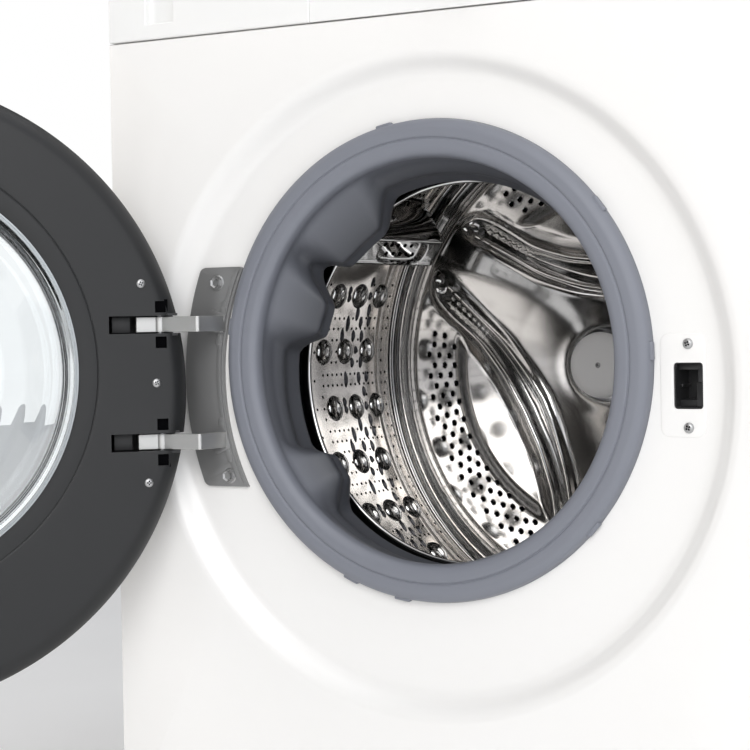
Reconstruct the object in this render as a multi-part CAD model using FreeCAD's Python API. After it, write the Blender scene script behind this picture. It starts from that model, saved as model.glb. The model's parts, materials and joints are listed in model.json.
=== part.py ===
"""Front load washing machine with its door standing open, as separate sub-parts.

Frame: +X is the machine's right seen from the front, +Y runs to its back, +Z is up.
The origin is on the floor under the centre of the cabinet's footprint.  Millimetres.
"""
import FreeCAD
import Part
import math
import os

V = FreeCAD.Vector
UP = V(0, 0, 1)
BACK = V(0, 1, 0)
RIGHT = V(1, 0, 0)

# Cabinet
WIDTH = 600.0
DEPTH = 560.0
HEIGHT = 850.0
SHEET = 1.0
HALF = WIDTH / 2
FRONT = -DEPTH / 2
REAR = DEPTH / 2
SKIRT_Z = 28.0
LID_Z = 828.0
FLANGE = 16.0
EDGE_GAP = 0.5

# Loading opening: the gasket's rim, the dished seat of the door and the drum each have their centre
OPEN_Z = 447.0
DISH_Z = OPEN_Z - 19.0
DRUM_Z = OPEN_Z - 11.4
GLASS_Z = OPEN_Z - 3.6
SEAM_Z = OPEN_Z + 269.4
DISH_R = 260.0
DISH_FLOOR_R = 240.0
DISH_DEPTH = 14.0
PANEL_HOLE_R = 178.0

# Door and its hinge
DOOR_R = 254.3
DOOR_FACE = -11.5
DOOR_OPEN_DEG = 133.6
DOOR_EDGE = -26.0
PIN_X = -233.2
PIN_DEPTH = -23.9
PIN_R = 3.0
PIN_PLAY = 0.05
ARM_Z = (OPEN_Z + 32.4, OPEN_Z - 63.6)
ARM_H = 12.7
ARM_T = 6.4
SLOT_H = 14.4
SLOT_END_X = -189.5
GLASS_HOLE_R = 164.4
GLASS_R = 156.8
PLATE_Z = OPEN_Z - 11.4
PLATE_R = (195.0, 233.5)
PLATE_T = 3.0
PLATE_TOP = 78.7
PLATE_FOOT = -102.3

# Door lock
LOCK_X = 215.2
SLOT_W = 22.7
LOCK_SLOT_H = 33.8
LOCK_SCREW = 30.6

# Tub and drum
TUB_R = 262.0
TUB_WALL = 4.0
TUB_FRONT = 66.0
TUB_SPLIT = 215.0
TUB_BACK = 394.0
NECK_R = 160.0
NECK_FRONT = 46.0
DRUM_R = 246.0
DRUM_SKIN = 1.0
MOUTH_R = 153.1
DRUM_SHOULDER = 110.0
DRUM_SEAM = 363.0
HUB_R = 30.6
HUB_FACE = 320.0
SHAFT_R = 15.0
SHAFT_TAIL_R = 12.5
SHAFT_PLAY = 0.05
LIFTER_DEG = (27.5, 147.5, 267.5)

# Controls
DRAWER_X = -97.5
KNOB_X = 40.0
CONTROL_Z = 772.0
KNOB_R = 29.0
POWER_X = -58.0
START_X = 266.0
BUTTON_R = {"power_button": 11.0, "start_button": 14.0}

# Drain filter and feet
FLAP = (-262.0, -142.0, 48.0, 118.0)
FILTER_X = -202.0
FILTER_Z = 84.0
FOOT_X = 258.0
FOOT_Y = (-232.0, 246.0)
STUD_R = 5.0
INLET_X = (-235.0, -175.0)
INLET_Z = 778.0
INLET_R = 13.2
OUTLET_X = -240.0
OUTLET_Z = 96.0
OUTLET_R = 13.5
SPIGOT_X = -150.0
SPIGOT_D = 180.0
SUMP_D = 250.0
DAMPER_X = 140.0
DAMPER_D = (130.0, 320.0)
DAMPER_FOOT = 36.0
SPRING_X = 226.0
SPRING_D = 250.0
HEATER_R = 252.0
FLANGE_R = 272.0
BOLT_COUNT = 12
BOLT_R = 3.0
LUG_Z = 200.0
SPRING_FOOT = 640.0
SPRING_TOP = 800.0
BEARINGS = ((31.0, 373.0, 387.0), (26.0, 409.0, 423.0))
HEATER_DEG = (263, 277)
PANEL_T = 3.5
DISPLAY = (96.0, 236.0, 748.0, 796.0)
BUTTON_X = {"power_button": POWER_X, "start_button": START_X}
TRAY = (-275.0, -106.0, 731.0, 790.0)
DRAWER_T = 10.0
PULL = (-260.0, -232.0, 730.0, 776.0)


def depth(d):
    """The Y of a point that lies d behind the front panel's plane."""
    return FRONT + d


def block(x0, x1, y0, y1, z0, z1):
    return Part.makeBox(x1 - x0, y1 - y0, z1 - z0, V(x0, y0, z0))


def rod(radius, start, end):
    way = end - start
    return Part.makeCylinder(radius, way.Length, start, way)


def tube(outer, inner, start, end):
    return rod(outer, start, end).cut(rod(inner, start, end))


def polygon(points):
    return Part.Face(Part.makePolygon(points + [points[0]]))


def lathe(profile, z):
    """A ring or disc about the machine's front to back line at height z; profile is (radius, depth)."""
    points = [V(r, depth(d), z) for r, d in profile]
    return polygon(points).revolve(V(0, 0, z), BACK, 360)


def ring(outer, inner, d0, d1, z):
    return tube(outer, inner, V(0, depth(d0), z), V(0, depth(d1), z))


def disc(radius, x, z, d0, d1):
    return rod(radius, V(x, depth(d0), z), V(x, depth(d1), z))


def at_angle(shape, degrees, z=DRUM_Z):
    """A copy turned about the front to back line at height z, anticlockwise seen from the front."""
    turned = shape.copy()
    turned.rotate(V(0, 0, z), BACK, -degrees)
    return turned


def fuse(shapes):
    return shapes[0].multiFuse(shapes[1:]) if len(shapes) > 1 else shapes[0]


def plan(points, z, height):
    """A prism with a plan outline of (x, depth) points, standing on z."""
    return polygon([V(x, depth(d), z) for x, d in points]).extrude(V(0, 0, height))


def sector(outer, inner, from_deg, to_deg, d0, d1, z):
    """Part of a ring between two angles, anticlockwise from the machine's right."""
    sweep = to_deg - from_deg
    corners = [(inner, d0), (outer, d0), (outer, d1), (inner, d1)]
    face = polygon([V(r, depth(d), z) for r, d in corners])
    face.rotate(V(0, 0, z), BACK, -from_deg)
    return face.revolve(V(0, 0, z), BACK, -sweep)


def bent_tube(route, outer, inner, bend):
    """A hose along straight runs joined by tangent arcs of one bend radius."""
    edges = []
    start = route[0]
    for before, corner, after in zip(route, route[1:], route[2:]):
        came = (corner - before).normalize()
        goes = (after - corner).normalize()
        turn = came.getAngle(goes)
        trim = bend * math.tan(turn / 2)
        first = corner - came * trim
        last = corner + goes * trim
        inward = (goes - came).normalize()
        centre = corner + inward * (bend / math.cos(turn / 2))
        middle = centre - inward * bend
        edges.append(Part.LineSegment(start, first).toShape())
        edges.append(Part.Arc(first, middle, last).toShape())
        start = last
    edges.append(Part.LineSegment(start, route[-1]).toShape())
    spine = Part.Wire(edges)
    way = (route[1] - route[0]).normalize()
    outside = spine.makePipeShell([Part.Wire([Part.makeCircle(outer, route[0], way)])], True, False)
    inside = spine.makePipeShell([Part.Wire([Part.makeCircle(inner, route[0], way)])], True, False)
    return outside.cut(inside)


def hex_bolt(x, z, head_d, shank_d, across, shank_r, thick):
    """A hexagon head in front of head_d with its shank running back to shank_d."""
    corner = across / math.sqrt(3)
    angles = [math.radians(60 * i) for i in range(6)]
    outline = [V(x + corner * math.cos(a), depth(head_d - thick), z + corner * math.sin(a)) for a in angles]
    head = polygon(outline).extrude(V(0, thick, 0))
    return head.fuse(disc(shank_r, x, z, head_d, shank_d))


def pan_screw(x, z, head_d, shank_d, head_r, shank_r, thick):
    """A cross-recessed pan head screw driven towards the back."""
    head = disc(head_r, x, z, head_d - thick, head_d)
    cross = block(x - head_r * 0.55, x + head_r * 0.55, depth(head_d - thick), depth(head_d - thick / 2),
                  z - 0.5, z + 0.5)
    upright = block(x - 0.5, x + 0.5, depth(head_d - thick), depth(head_d - thick / 2),
                    z - head_r * 0.55, z + head_r * 0.55)
    return head.cut(cross).cut(upright).fuse(disc(shank_r, x, z, head_d, shank_d))


# ---------------------------------------------------------------- cabinet

def front_panel():
    tray = block(-HALF, HALF, FRONT, FRONT + FLANGE, SKIRT_Z, SEAM_Z)
    tray = tray.cut(block(-HALF + SHEET, HALF - SHEET, FRONT + SHEET, FRONT + FLANGE,
                          SKIRT_Z + SHEET, SEAM_Z - SHEET))
    tray = tray.cut(disc(DISH_R, 0, DISH_Z, -1, SHEET + 1))
    wall = [(DISH_R, 0), (254, 2.5), (246, 11), (DISH_FLOOR_R, DISH_DEPTH), (100, DISH_DEPTH)]
    inner = [(100, DISH_DEPTH + SHEET), (DISH_FLOOR_R, DISH_DEPTH + SHEET), (247, 12), (255, 3.5),
             (DISH_R, SHEET)]
    dish = lathe(wall + inner, DISH_Z)
    panel = tray.fuse(dish)
    panel = panel.cut(disc(PANEL_HOLE_R, 0, OPEN_Z, -5, 30))
    slot = block(LOCK_X - SLOT_W / 2, LOCK_X + SLOT_W / 2, depth(5), depth(20),
                 DISH_Z - LOCK_SLOT_H / 2, DISH_Z + LOCK_SLOT_H / 2)
    x0, x1, z0, z1 = FLAP
    hatch = block(x0 - EDGE_GAP, x1 + EDGE_GAP, depth(-2), depth(4), z0 - EDGE_GAP, z1 + EDGE_GAP)
    panel = panel.cut(slot).cut(hatch)
    for side in (-1, 1):
        panel = panel.cut(disc(2.1, LOCK_X, DISH_Z + side * LOCK_SCREW, 5, 20))
    for x, z in hinge_screw_places():
        panel = panel.cut(disc(3.1, x, z, 5, 20))
    return panel.removeSplitter()


def side_panel(side):
    """A flat side with narrow flanges turned in along its front, back, top and bottom."""
    outer = block(0, 18, FRONT + FLANGE, REAR - SHEET, SKIRT_Z, LID_Z)
    inner = block(SHEET, 19, FRONT + FLANGE + SHEET, REAR - 2 * SHEET, SKIRT_Z + SHEET, LID_Z - SHEET)
    panel = outer.cut(inner)
    y = depth(SPRING_D + 11)
    hanger = block(SHEET, HALF - SPRING_X + 14, y - 14, y + 14, SPRING_TOP, SPRING_TOP + 20)
    hanger = hanger.cut(block(0, HALF, y - 12, y + 12, SPRING_TOP + 2, SPRING_TOP + 21))
    panel = panel.fuse(hanger)
    panel.translate(V(-HALF, 0, 0))
    if side > 0:
        panel = panel.mirror(V(0, 0, 0), RIGHT)
    return panel


def rear_panel():
    panel = block(-HALF, HALF, REAR - SHEET, REAR, SKIRT_Z, LID_Z)
    for x, z in cap_places():
        panel = panel.cut(rod(14.0, V(x, REAR - 5, z), V(x, REAR + 5, z)))
    for x in INLET_X:
        panel = panel.cut(rod(15.0, V(x, REAR - 5, INLET_Z), V(x, REAR + 5, INLET_Z)))
    outlet = V(OUTLET_X, REAR, OUTLET_Z)
    return panel.cut(rod(OUTLET_R + 0.5, outlet - BACK * 5, outlet + BACK * 5))


def base_pan():
    pan = block(-HALF + 2, HALF - 2, FRONT + FLANGE + 2, REAR - 3, SKIRT_Z + 1.5, 62)
    pan = pan.cut(block(-HALF + 5, HALF - 5, FRONT + FLANGE + 5, REAR - 6, SKIRT_Z + 5, 63))
    for x, y in foot_places():
        pan = pan.fuse(rod(12, V(x, y, SKIRT_Z + 2), V(x, y, 58)))
        pan = pan.cut(rod(STUD_R + 0.06, V(x, y, 0), V(x, y, 60)))
    for x, y in damper_places():
        pan = pan.fuse(block(x - 16, x + 16, y - 16, y + 16, SKIRT_Z + 2, DAMPER_FOOT))
    filter_notch = block(FILTER_X - 38, FILTER_X + 38, FRONT + FLANGE, FRONT + FLANGE + 7, FILTER_Z - 38, 63)
    return pan.cut(filter_notch).removeSplitter()


def lid():
    top = block(-HALF, HALF, FRONT, REAR, LID_Z, HEIGHT)
    hollow = block(-HALF + 3, HALF - 3, FRONT + 3, REAR - 3, LID_Z - 1, HEIGHT - 4)
    edges = [e for e in top.Edges if abs(e.BoundBox.ZMin - HEIGHT) < 0.01 and abs(e.BoundBox.ZMax - HEIGHT) < 0.01]
    return top.makeFillet(5.0, edges).cut(hollow)


def foot_places():
    return [(x, y) for y in FOOT_Y for x in (-FOOT_X, FOOT_X)]


def foot(x, y):
    pad = Part.makeCone(22, 18, 9, V(x, y, 0), UP)
    collar = rod(10, V(x, y, 9), V(x, y, 20))
    return fuse([pad, collar, rod(STUD_R, V(x, y, 20), V(x, y, 56))])


def inlet_valves():
    body = block(INLET_X[0] - 22, INLET_X[1] + 22, REAR - 42, REAR - SHEET, INLET_Z - 18, INLET_Z + 18)
    parts = [body]
    for x in INLET_X:
        parts.append(rod(19, V(x, REAR - 30, INLET_Z + 18), V(x, REAR - 30, INLET_Z + 40)))
        parts.append(rod(14.8, V(x, REAR - SHEET, INLET_Z), V(x, REAR + 0.5, INLET_Z)))
        parts.append(rod(INLET_R, V(x, REAR + 0.5, INLET_Z), V(x, REAR + 16, INLET_Z)))
    valves = fuse(parts)
    for x in INLET_X:
        valves = valves.cut(rod(8, V(x, REAR - 12, INLET_Z), V(x, REAR + 16, INLET_Z)))
    return valves


def cap_places():
    return [(x, z) for z in (300.0, 590.0) for x in (-205.0, 205.0)]


def shipping_hole_caps():
    caps = []
    for x, z in cap_places():
        head = rod(20, V(x, REAR, z), V(x, REAR + 3, z))
        plug = rod(13.8, V(x, REAR - 9, z), V(x, REAR, z))
        caps.append(head.fuse(plug))
    return Part.makeCompound(caps)


# ---------------------------------------------------------------- hinge and lock

def hinge_screw_places():
    return [(-199.4, OPEN_Z + 66.0), (-190.7, OPEN_Z - 93.6)]


def hinge_plate():
    """A curved plate between two radii with a raised step along the edge next to the gasket."""
    top = math.degrees(math.asin((PLATE_TOP + 11.4) / PLATE_R[1]))
    foot_deg = math.degrees(math.asin((PLATE_FOOT + 11.4) / PLATE_R[1]))
    seat = DISH_DEPTH
    plate = sector(PLATE_R[1], PLATE_R[0], 180 - top, 180 - foot_deg, seat - PLATE_T, seat, PLATE_Z)
    rib = sector(PLATE_R[0] + 6.5, PLATE_R[0] + 1.5, 181 - top, 179 - foot_deg, seat - PLATE_T - 1.5,
                 seat - PLATE_T, PLATE_Z)
    for z in ARM_Z:
        rib = rib.cut(block(-215, -180, FRONT, FRONT + seat, z - ARM_H / 2 - 0.1, z + ARM_H / 2 + 0.1))
    plate = plate.fuse(rib)
    for x, z in hinge_screw_places():
        plate = plate.cut(disc(3.1, x, z, 0, 20))
    return plate


def hinge_arms():
    """Two goosenecks from the plate out to the pin line, each with a tail beyond its pin."""
    turn = math.radians(DOOR_OPEN_DEG)
    tail = 20.0
    tip_x = PIN_X + tail * math.cos(turn)
    tip_d = PIN_DEPTH - tail * math.sin(turn)
    seat = DISH_DEPTH - PLATE_T
    centre = [(-195.0, seat), (-198.0, -20.5), (PIN_X, PIN_DEPTH), (tip_x, tip_d)]
    arms = []
    for z in ARM_Z:
        low = z - ARM_H / 2
        pieces = []
        for (xa, da), (xb, db) in zip(centre, centre[1:]):
            run = math.hypot(xb - xa, db - da)
            side_x = -(db - da) / run * ARM_T / 2
            side_d = (xb - xa) / run * ARM_T / 2
            outline = [(xa + side_x, da + side_d), (xb + side_x, db + side_d),
                       (xb - side_x, db - side_d), (xa - side_x, da - side_d)]
            pieces.append(plan(outline, low, ARM_H))
        for x, d in centre[1:3]:
            pieces.append(Part.makeCylinder(ARM_T / 2, ARM_H, V(x, depth(d), low), UP))
        pieces.append(Part.makeCylinder(5.2, ARM_H, V(PIN_X, depth(PIN_DEPTH), low), UP))
        arm = fuse(pieces)
        arm = arm.cut(block(-205, -185, depth(seat), depth(seat + 6), low - 1, low + ARM_H + 1))
        bore = Part.makeCylinder(PIN_R + PIN_PLAY, ARM_H, V(PIN_X, depth(PIN_DEPTH), low), UP)
        arms.append(arm.cut(bore).removeSplitter())
    return Part.makeCompound(arms)


def front_panel_screws():
    screws = []
    for x, z in hinge_screw_places():
        screws.append(hex_bolt(x, z, DISH_DEPTH - PLATE_T, 26, 8.0, 3.0, 3.5))
    for side in (-1, 1):
        screws.append(pan_screw(LOCK_X, DISH_Z + side * LOCK_SCREW, DISH_DEPTH, 26, 4.0, 2.0, 2.0))
    return Part.makeCompound(screws)


def door_lock():
    behind = DISH_DEPTH + SHEET
    body = block(LOCK_X - 19, LOCK_X + 21, depth(behind), depth(behind + 34), DISH_Z - 38, DISH_Z + 38)
    mouth = block(LOCK_X - SLOT_W / 2, LOCK_X + SLOT_W / 2, depth(behind - 1), depth(behind + 26),
                  DISH_Z - LOCK_SLOT_H / 2, DISH_Z + LOCK_SLOT_H / 2)
    body = body.cut(mouth)
    for side in (-1, 1):
        body = body.cut(disc(2.1, LOCK_X, DISH_Z + side * LOCK_SCREW, 10, 28))
    return body


# ---------------------------------------------------------------- gasket

def gasket():
    """Front bead over the panel's edge, a wall that steps down to the tub's neck, and a rear bead."""
    bead = lathe([(158.1, 12.1), (160, 6), (164, 3.2), (173, 3.1), (182, 3.2), (187, 7), (188.6, DISH_DEPTH),
                  (PANEL_HOLE_R - 0.2, DISH_DEPTH), (PANEL_HOLE_R - 0.2, DISH_DEPTH + SHEET),
                  (185, DISH_DEPTH + SHEET), (185, 20), (168, 22), (160, 22)], OPEN_Z)
    outer = circle_loft(167.3, 19.5, OPEN_Z, 167.3, 44.4, DRUM_Z)
    inner = circle_loft(163.4, 19.4, OPEN_Z, 163.4, 44.5, DRUM_Z)
    lip = lathe([(157, 43), (169, 43), (169, 62), (164.4, 62), (164.4, 45.6), (157, 45.6)], DRUM_Z)
    return fuse([bead, outer.cut(inner), lip]).removeSplitter()


def circle_loft(r0, d0, z0, r1, d1, z1):
    rims = [Part.Wire([Part.makeCircle(r, V(0, depth(d), z), BACK)]) for r, d, z in ((r0, d0, z0), (r1, d1, z1))]
    return Part.makeLoft(rims, True, True)


def gasket_clamp():
    band = ring(170.9, 169.4, 50, 58, DRUM_Z)
    ear = block(-9, 9, depth(50), depth(58), DRUM_Z - 177, DRUM_Z - 170.4)
    return band.fuse(ear)


# ---------------------------------------------------------------- tub

def damper_places():
    return [(side * DAMPER_X, depth(d)) for d in DAMPER_D for side in (-1, 1)]


def bolt_circle(make):
    return [at_angle(make, 15 + 360 / BOLT_COUNT * i) for i in range(BOLT_COUNT)]


def tub_front():
    inner = TUB_R - TUB_WALL
    shell = lathe([(NECK_R, NECK_FRONT), (NECK_R + 4, NECK_FRONT), (NECK_R + 4, TUB_FRONT), (TUB_R, TUB_FRONT),
                   (TUB_R, TUB_SPLIT - 6), (FLANGE_R, TUB_SPLIT - 6), (FLANGE_R, TUB_SPLIT),
                   (inner, TUB_SPLIT), (inner, TUB_FRONT + TUB_WALL), (NECK_R, TUB_FRONT + TUB_WALL)], DRUM_Z)
    spigot = V(SPIGOT_X, depth(SPIGOT_D), 0)
    shell = shell.fuse(rod(18, spigot + UP * (DRUM_Z + 200), spigot + UP * 684))
    shell = shell.cut(rod(15, spigot + UP * (DRUM_Z + 190), spigot + UP * 690))
    shell = shell.cut(disc(inner, 0, DRUM_Z, TUB_FRONT + TUB_WALL, TUB_SPLIT))
    for hole in bolt_circle(disc(BOLT_R + 0.1, 267, DRUM_Z, 200, 220)):
        shell = shell.cut(hole)
    for degrees in HEATER_DEG:
        shell = shell.cut(at_angle(disc(3.5, HEATER_R, DRUM_Z, 60, 75), degrees))
    shell = shell.fuse(damper_lug(DAMPER_D[0], -1)).fuse(damper_lug(DAMPER_D[0], 1))
    return shell.cut(disc(inner, 0, DRUM_Z, TUB_FRONT + TUB_WALL, TUB_SPLIT)).removeSplitter()


def damper_lug(d, side):
    """A block under the tub that a damper's rod screws into."""
    x = side * DAMPER_X
    return block(x - 14, x + 14, depth(d) - 12, depth(d) + 12, LUG_Z, DRUM_Z - 190)


def tub_rear():
    inner = TUB_R - TUB_WALL
    shell = lathe([(20, 370), (42, 370), (42, TUB_BACK - 6), (inner, TUB_BACK - 6), (inner, TUB_SPLIT),
                   (FLANGE_R, TUB_SPLIT), (FLANGE_R, TUB_SPLIT + 6), (TUB_R, TUB_SPLIT + 6), (TUB_R, TUB_BACK),
                   (42, TUB_BACK), (42, 428), (20, 428)], DRUM_Z)
    for radius, d0, d1 in BEARINGS:
        shell = shell.cut(disc(radius, 0, DRUM_Z, d0, d1))
    shell = shell.cut(disc(31, 0, DRUM_Z, 369, 373))
    shell = shell.cut(disc(26, 0, DRUM_Z, 423, 429))
    sump = V(0, depth(SUMP_D), 0)
    shell = shell.fuse(rod(24, sump + UP * 146, sump + UP * (DRUM_Z - 240)))
    shell = shell.cut(rod(20, sump + UP * 140, sump + UP * (DRUM_Z - 200)))
    shell = shell.fuse(damper_lug(DAMPER_D[1], -1)).fuse(damper_lug(DAMPER_D[1], 1))
    for side in (-1, 1):
        x = side * SPRING_X
        y = depth(SPRING_D + 4)
        shell = shell.fuse(block(x - 9, x + 9, y, y + 14, DRUM_Z + 110, SPRING_FOOT - 0.5))
    shell = shell.cut(disc(inner, 0, DRUM_Z, TUB_SPLIT, TUB_BACK - 6).cut(disc(42, 0, DRUM_Z, 360, 400)))
    for hole in bolt_circle(disc(BOLT_R + 0.1, 267, DRUM_Z, 210, 230)):
        shell = shell.cut(hole)
    return shell.removeSplitter()


def bearings():
    first, second = BEARINGS
    return Part.makeCompound([
        ring(first[0], SHAFT_R + SHAFT_PLAY, first[1], first[2], DRUM_Z),
        ring(second[0], SHAFT_TAIL_R + SHAFT_PLAY, second[1], second[2], DRUM_Z),
    ])


def tub_bolts():
    bolt = hex_bolt(267, DRUM_Z, TUB_SPLIT - 6, TUB_SPLIT + 12, 8.0, BOLT_R, 5.0)
    return Part.makeCompound(bolt_circle(bolt))


def counterweight(from_deg, to_deg):
    return sector(255, 180, from_deg, to_deg, 36, TUB_FRONT, DRUM_Z)


def motor_stator():
    core = ring(70, 50, 402, 426, DRUM_Z)
    tooth = block(68, 118, depth(403), depth(425), DRUM_Z - 4, DRUM_Z + 4)
    teeth = [at_angle(tooth, 15 * i) for i in range(24)]
    feet = [at_angle(block(44, 60, depth(TUB_BACK), depth(404), DRUM_Z - 6, DRUM_Z + 6), 60 * i) for i in range(6)]
    return fuse([core] + teeth + feet)


def heater():
    """A hairpin element lying in the gap between the drum and the tub's floor."""
    runs = [at_angle(disc(3.25, HEATER_R, DRUM_Z, 56, 196), degrees) for degrees in HEATER_DEG]
    bend = sector(HEATER_R + 3.25, HEATER_R - 3.25, HEATER_DEG[0], HEATER_DEG[1], 190, 196.5, DRUM_Z)
    socket = block(-38, 38, depth(52), depth(TUB_FRONT), DRUM_Z - HEATER_R - 9, DRUM_Z - HEATER_R + 14)
    return fuse(runs + [bend, socket])


def damper_rods():
    return Part.makeCompound([rod(6, V(x, y, 96), V(x, y, LUG_Z)) for x, y in damper_places()])


def damper_cylinders():
    cylinders = []
    for x, y in damper_places():
        body = rod(11, V(x, y, DAMPER_FOOT), V(x, y, 158))
        cylinders.append(body.cut(rod(6.05, V(x, y, 70), V(x, y, 158))))
    return Part.makeCompound(cylinders)


def springs():
    """Closed coils, drawn as the sleeve that their wire fills."""
    y = depth(SPRING_D + 11)
    coils = [tube(11, 7.5, V(side * SPRING_X, y, SPRING_FOOT), V(side * SPRING_X, y, SPRING_TOP)) for side in (-1, 1)]
    return Part.makeCompound(coils)


# ---------------------------------------------------------------- drum

def drum_front():
    """The rolled mouth and the sloping front wall."""
    return lathe([(MOUTH_R, 80.2), (MOUTH_R, 79.0), (156, 77.5), (168, 83), (234, 89), (DRUM_R, 99),
                  (DRUM_R, DRUM_SHOULDER), (DRUM_R - DRUM_SKIN, DRUM_SHOULDER), (DRUM_R - DRUM_SKIN, 99.5),
                  (233.6, 90), (167.6, 84), (156.4, 78.8)], DRUM_Z)


def drum_cylinder():
    return ring(DRUM_R, DRUM_R - DRUM_SKIN, DRUM_SHOULDER, DRUM_SEAM, DRUM_Z)


def drum_back():
    """The back shell, which comes forward from the rim to the hub."""
    face = [(DRUM_R, DRUM_SEAM), (DRUM_R, 374), (236, 374), (222, 368), (176, 354), (90, 339), (44, 327.2), (0, 327.2)]
    front = [(0, 326), (44.4, 326), (90.4, 337.8), (176.4, 352.8), (222.4, 366.8), (236, 372.6), (244.8, 372.6),
             (244.8, DRUM_SEAM)]
    return lathe(face + front, DRUM_Z)


def lifters():
    """Three hollow paddles on the drum's wall."""
    wall = DRUM_R - DRUM_SKIN
    root = wall * math.cos(math.asin(32 / wall))
    outline = [V(root, depth(118), DRUM_Z - 32), V(205, depth(118), DRUM_Z - 11), V(198, depth(118), DRUM_Z),
               V(205, depth(118), DRUM_Z + 11), V(root, depth(118), DRUM_Z + 32)]
    paddle = polygon(outline).extrude(V(0, 236, 0))
    core = [V(root + 1, depth(116), DRUM_Z - 30), V(207, depth(116), DRUM_Z - 9), V(201, depth(116), DRUM_Z),
            V(207, depth(116), DRUM_Z + 9), V(root + 1, depth(116), DRUM_Z + 30)]
    hollow = polygon(core).extrude(V(0, 232, 0))
    hollow.translate(V(0, 4, 0))
    paddle = paddle.cut(hollow)
    return Part.makeCompound([at_angle(paddle, degrees) for degrees in LIFTER_DEG])


def spider():
    """The cast three-armed cross that carries the drum's back on the shaft."""
    side = [(28, 329), (44, 329), (90, 341), (176, 356), (222, 371), (238, 375), (238, 382), (60, 380), (50, 366),
            (28, 366)]
    outline = [V(r, depth(d), DRUM_Z - 13) for r, d in side]
    arm = polygon(outline).extrude(V(0, 0, 26))
    hub = disc(34, 0, DRUM_Z, 328, 366)
    cast = fuse([hub] + [at_angle(arm, degrees) for degrees in LIFTER_DEG])
    return cast.cut(disc(SHAFT_R, 0, DRUM_Z, 340, 370)).removeSplitter()


def drum_shaft():
    front = disc(SHAFT_R, 0, DRUM_Z, 340, 400)
    tail = disc(SHAFT_TAIL_R, 0, DRUM_Z, 400, 448)
    return front.fuse(tail)


def rotor():
    """The magnet cup that turns round the stator."""
    cup = ring(128, 122, 399, 438, DRUM_Z)
    plate = ring(128, SHAFT_TAIL_R, 434, 438, DRUM_Z)
    boss = ring(26, SHAFT_TAIL_R, 430, 440, DRUM_Z)
    vents = [at_angle(block(60, 108, depth(430), depth(440), DRUM_Z - 4, DRUM_Z + 4), 30 * i) for i in range(12)]
    body = fuse([cup, plate, boss])
    for vent in vents:
        body = body.cut(vent)
    return body


def hub_cap():
    return lathe([(0, HUB_FACE), (10, HUB_FACE + 0.3), (22, HUB_FACE + 2), (HUB_R, HUB_FACE + 6), (0, HUB_FACE + 6)],
                 DRUM_Z)


# ---------------------------------------------------------------- door, drawn closed and then swung open

def swing(shape):
    opened = shape.copy()
    opened.rotate(V(PIN_X, depth(PIN_DEPTH), 0), UP, -DOOR_OPEN_DEG)
    return opened


def arm_pockets(deepest):
    """The two spaces that the hinge arms turn in, open through the door's edge."""
    return [block(-DOOR_R - 5, SLOT_END_X, depth(deepest), depth(DOOR_FACE + 2), z - SLOT_H / 2, z + SLOT_H / 2)
            for z in ARM_Z]


def door_screw_places():
    return [(PIN_X + 17.1, OPEN_Z + 65.9), (PIN_X + 5.7, OPEN_Z - 15.2), (PIN_X + 13.6, OPEN_Z - 96.4),
            (120.0, DISH_Z + 199.0), (120.0, DISH_Z - 199.0), (LOCK_X - 12, DISH_Z + 60), (LOCK_X - 12, DISH_Z - 60)]


def door_inner_frame():
    """The inner cover: a flat ring with a rounded edge, pin bosses and pockets for the arms."""
    t = 3.0
    face = DOOR_FACE
    cover = lathe([(0, face), (239, face), (249, face - 3), (DOOR_R, face - 9), (DOOR_R, DOOR_EDGE),
                   (DOOR_R - t, DOOR_EDGE), (DOOR_R - t, face - 9.8), (247.5, face - 5.8), (238, face - t),
                   (0, face - t)], DISH_Z)
    cover = cover.cut(disc(GLASS_HOLE_R, 0, GLASS_Z, -40, 5))
    for z in ARM_Z:
        reach = SLOT_H / 2 + 15
        boss = block(PIN_X - 7, PIN_X + 12, depth(PIN_DEPTH - 7), depth(face - t / 2), z - reach, z + reach)
        cover = cover.fuse(boss)
    for pocket in arm_pockets(-50):
        cover = cover.cut(pocket)
    for z in ARM_Z:
        for side in (-1, 1):
            mid = z + side * 14.5
            cover = cover.cut(block(PIN_X - 2.3, PIN_X + 6.4, depth(face - 9), depth(face + 2), mid - 4.35, mid + 4.35))
        pin_line = V(PIN_X, depth(PIN_DEPTH), 0)
        cover = cover.cut(rod(PIN_R, pin_line + UP * (z - 20), pin_line + UP * (z + 20)))
    for x, z in door_screw_places():
        cover = cover.cut(disc(2.1, x, z, -30, 0))
    hook_gap = block(LOCK_X - 7, LOCK_X + 9, depth(-20), depth(-5), DISH_Z - 9, DISH_Z + 9)
    return cover.cut(hook_gap)


def door_rim():
    """The outer shell round the door, with notches for the hinge arms."""
    shell = lathe([(DOOR_R, DOOR_EDGE), (DOOR_R, -34), (246, -52), (222, -60), (214, -60), (214, -57), (221.5, -57),
                   (243.8, -49.6), (DOOR_R - 3, -33.4), (DOOR_R - 3, DOOR_EDGE)], DISH_Z)
    for pocket in arm_pockets(-48):
        shell = shell.cut(pocket)
    return shell


def door_outer_glass():
    return lathe([(0, -66), (100, -64.6), (180, -60.9), (213.8, -58), (213.8, -54), (180, -56.9), (100, -60.6),
                  (0, -62)], DISH_Z)


def glass_ring():
    return ring(GLASS_HOLE_R, GLASS_R, DOOR_FACE - 2.9, DOOR_FACE + 1.5, GLASS_Z)


def glass_bowl():
    """The bowl of clear glass that fills the gasket's mouth when the door is shut."""
    return lathe([(168, -18.5), (168, -14.6), (GLASS_R, -14.4), (GLASS_R - 0.2, -10), (153, 8), (136, 24), (118, 36),
                  (100, 42), (0, 45), (0, 41), (98, 38.2), (115.6, 32.6), (132.6, 21.4), (149, 6.5),
                  (152.4, -11), (152.4, -18.5)], GLASS_Z)


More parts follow.
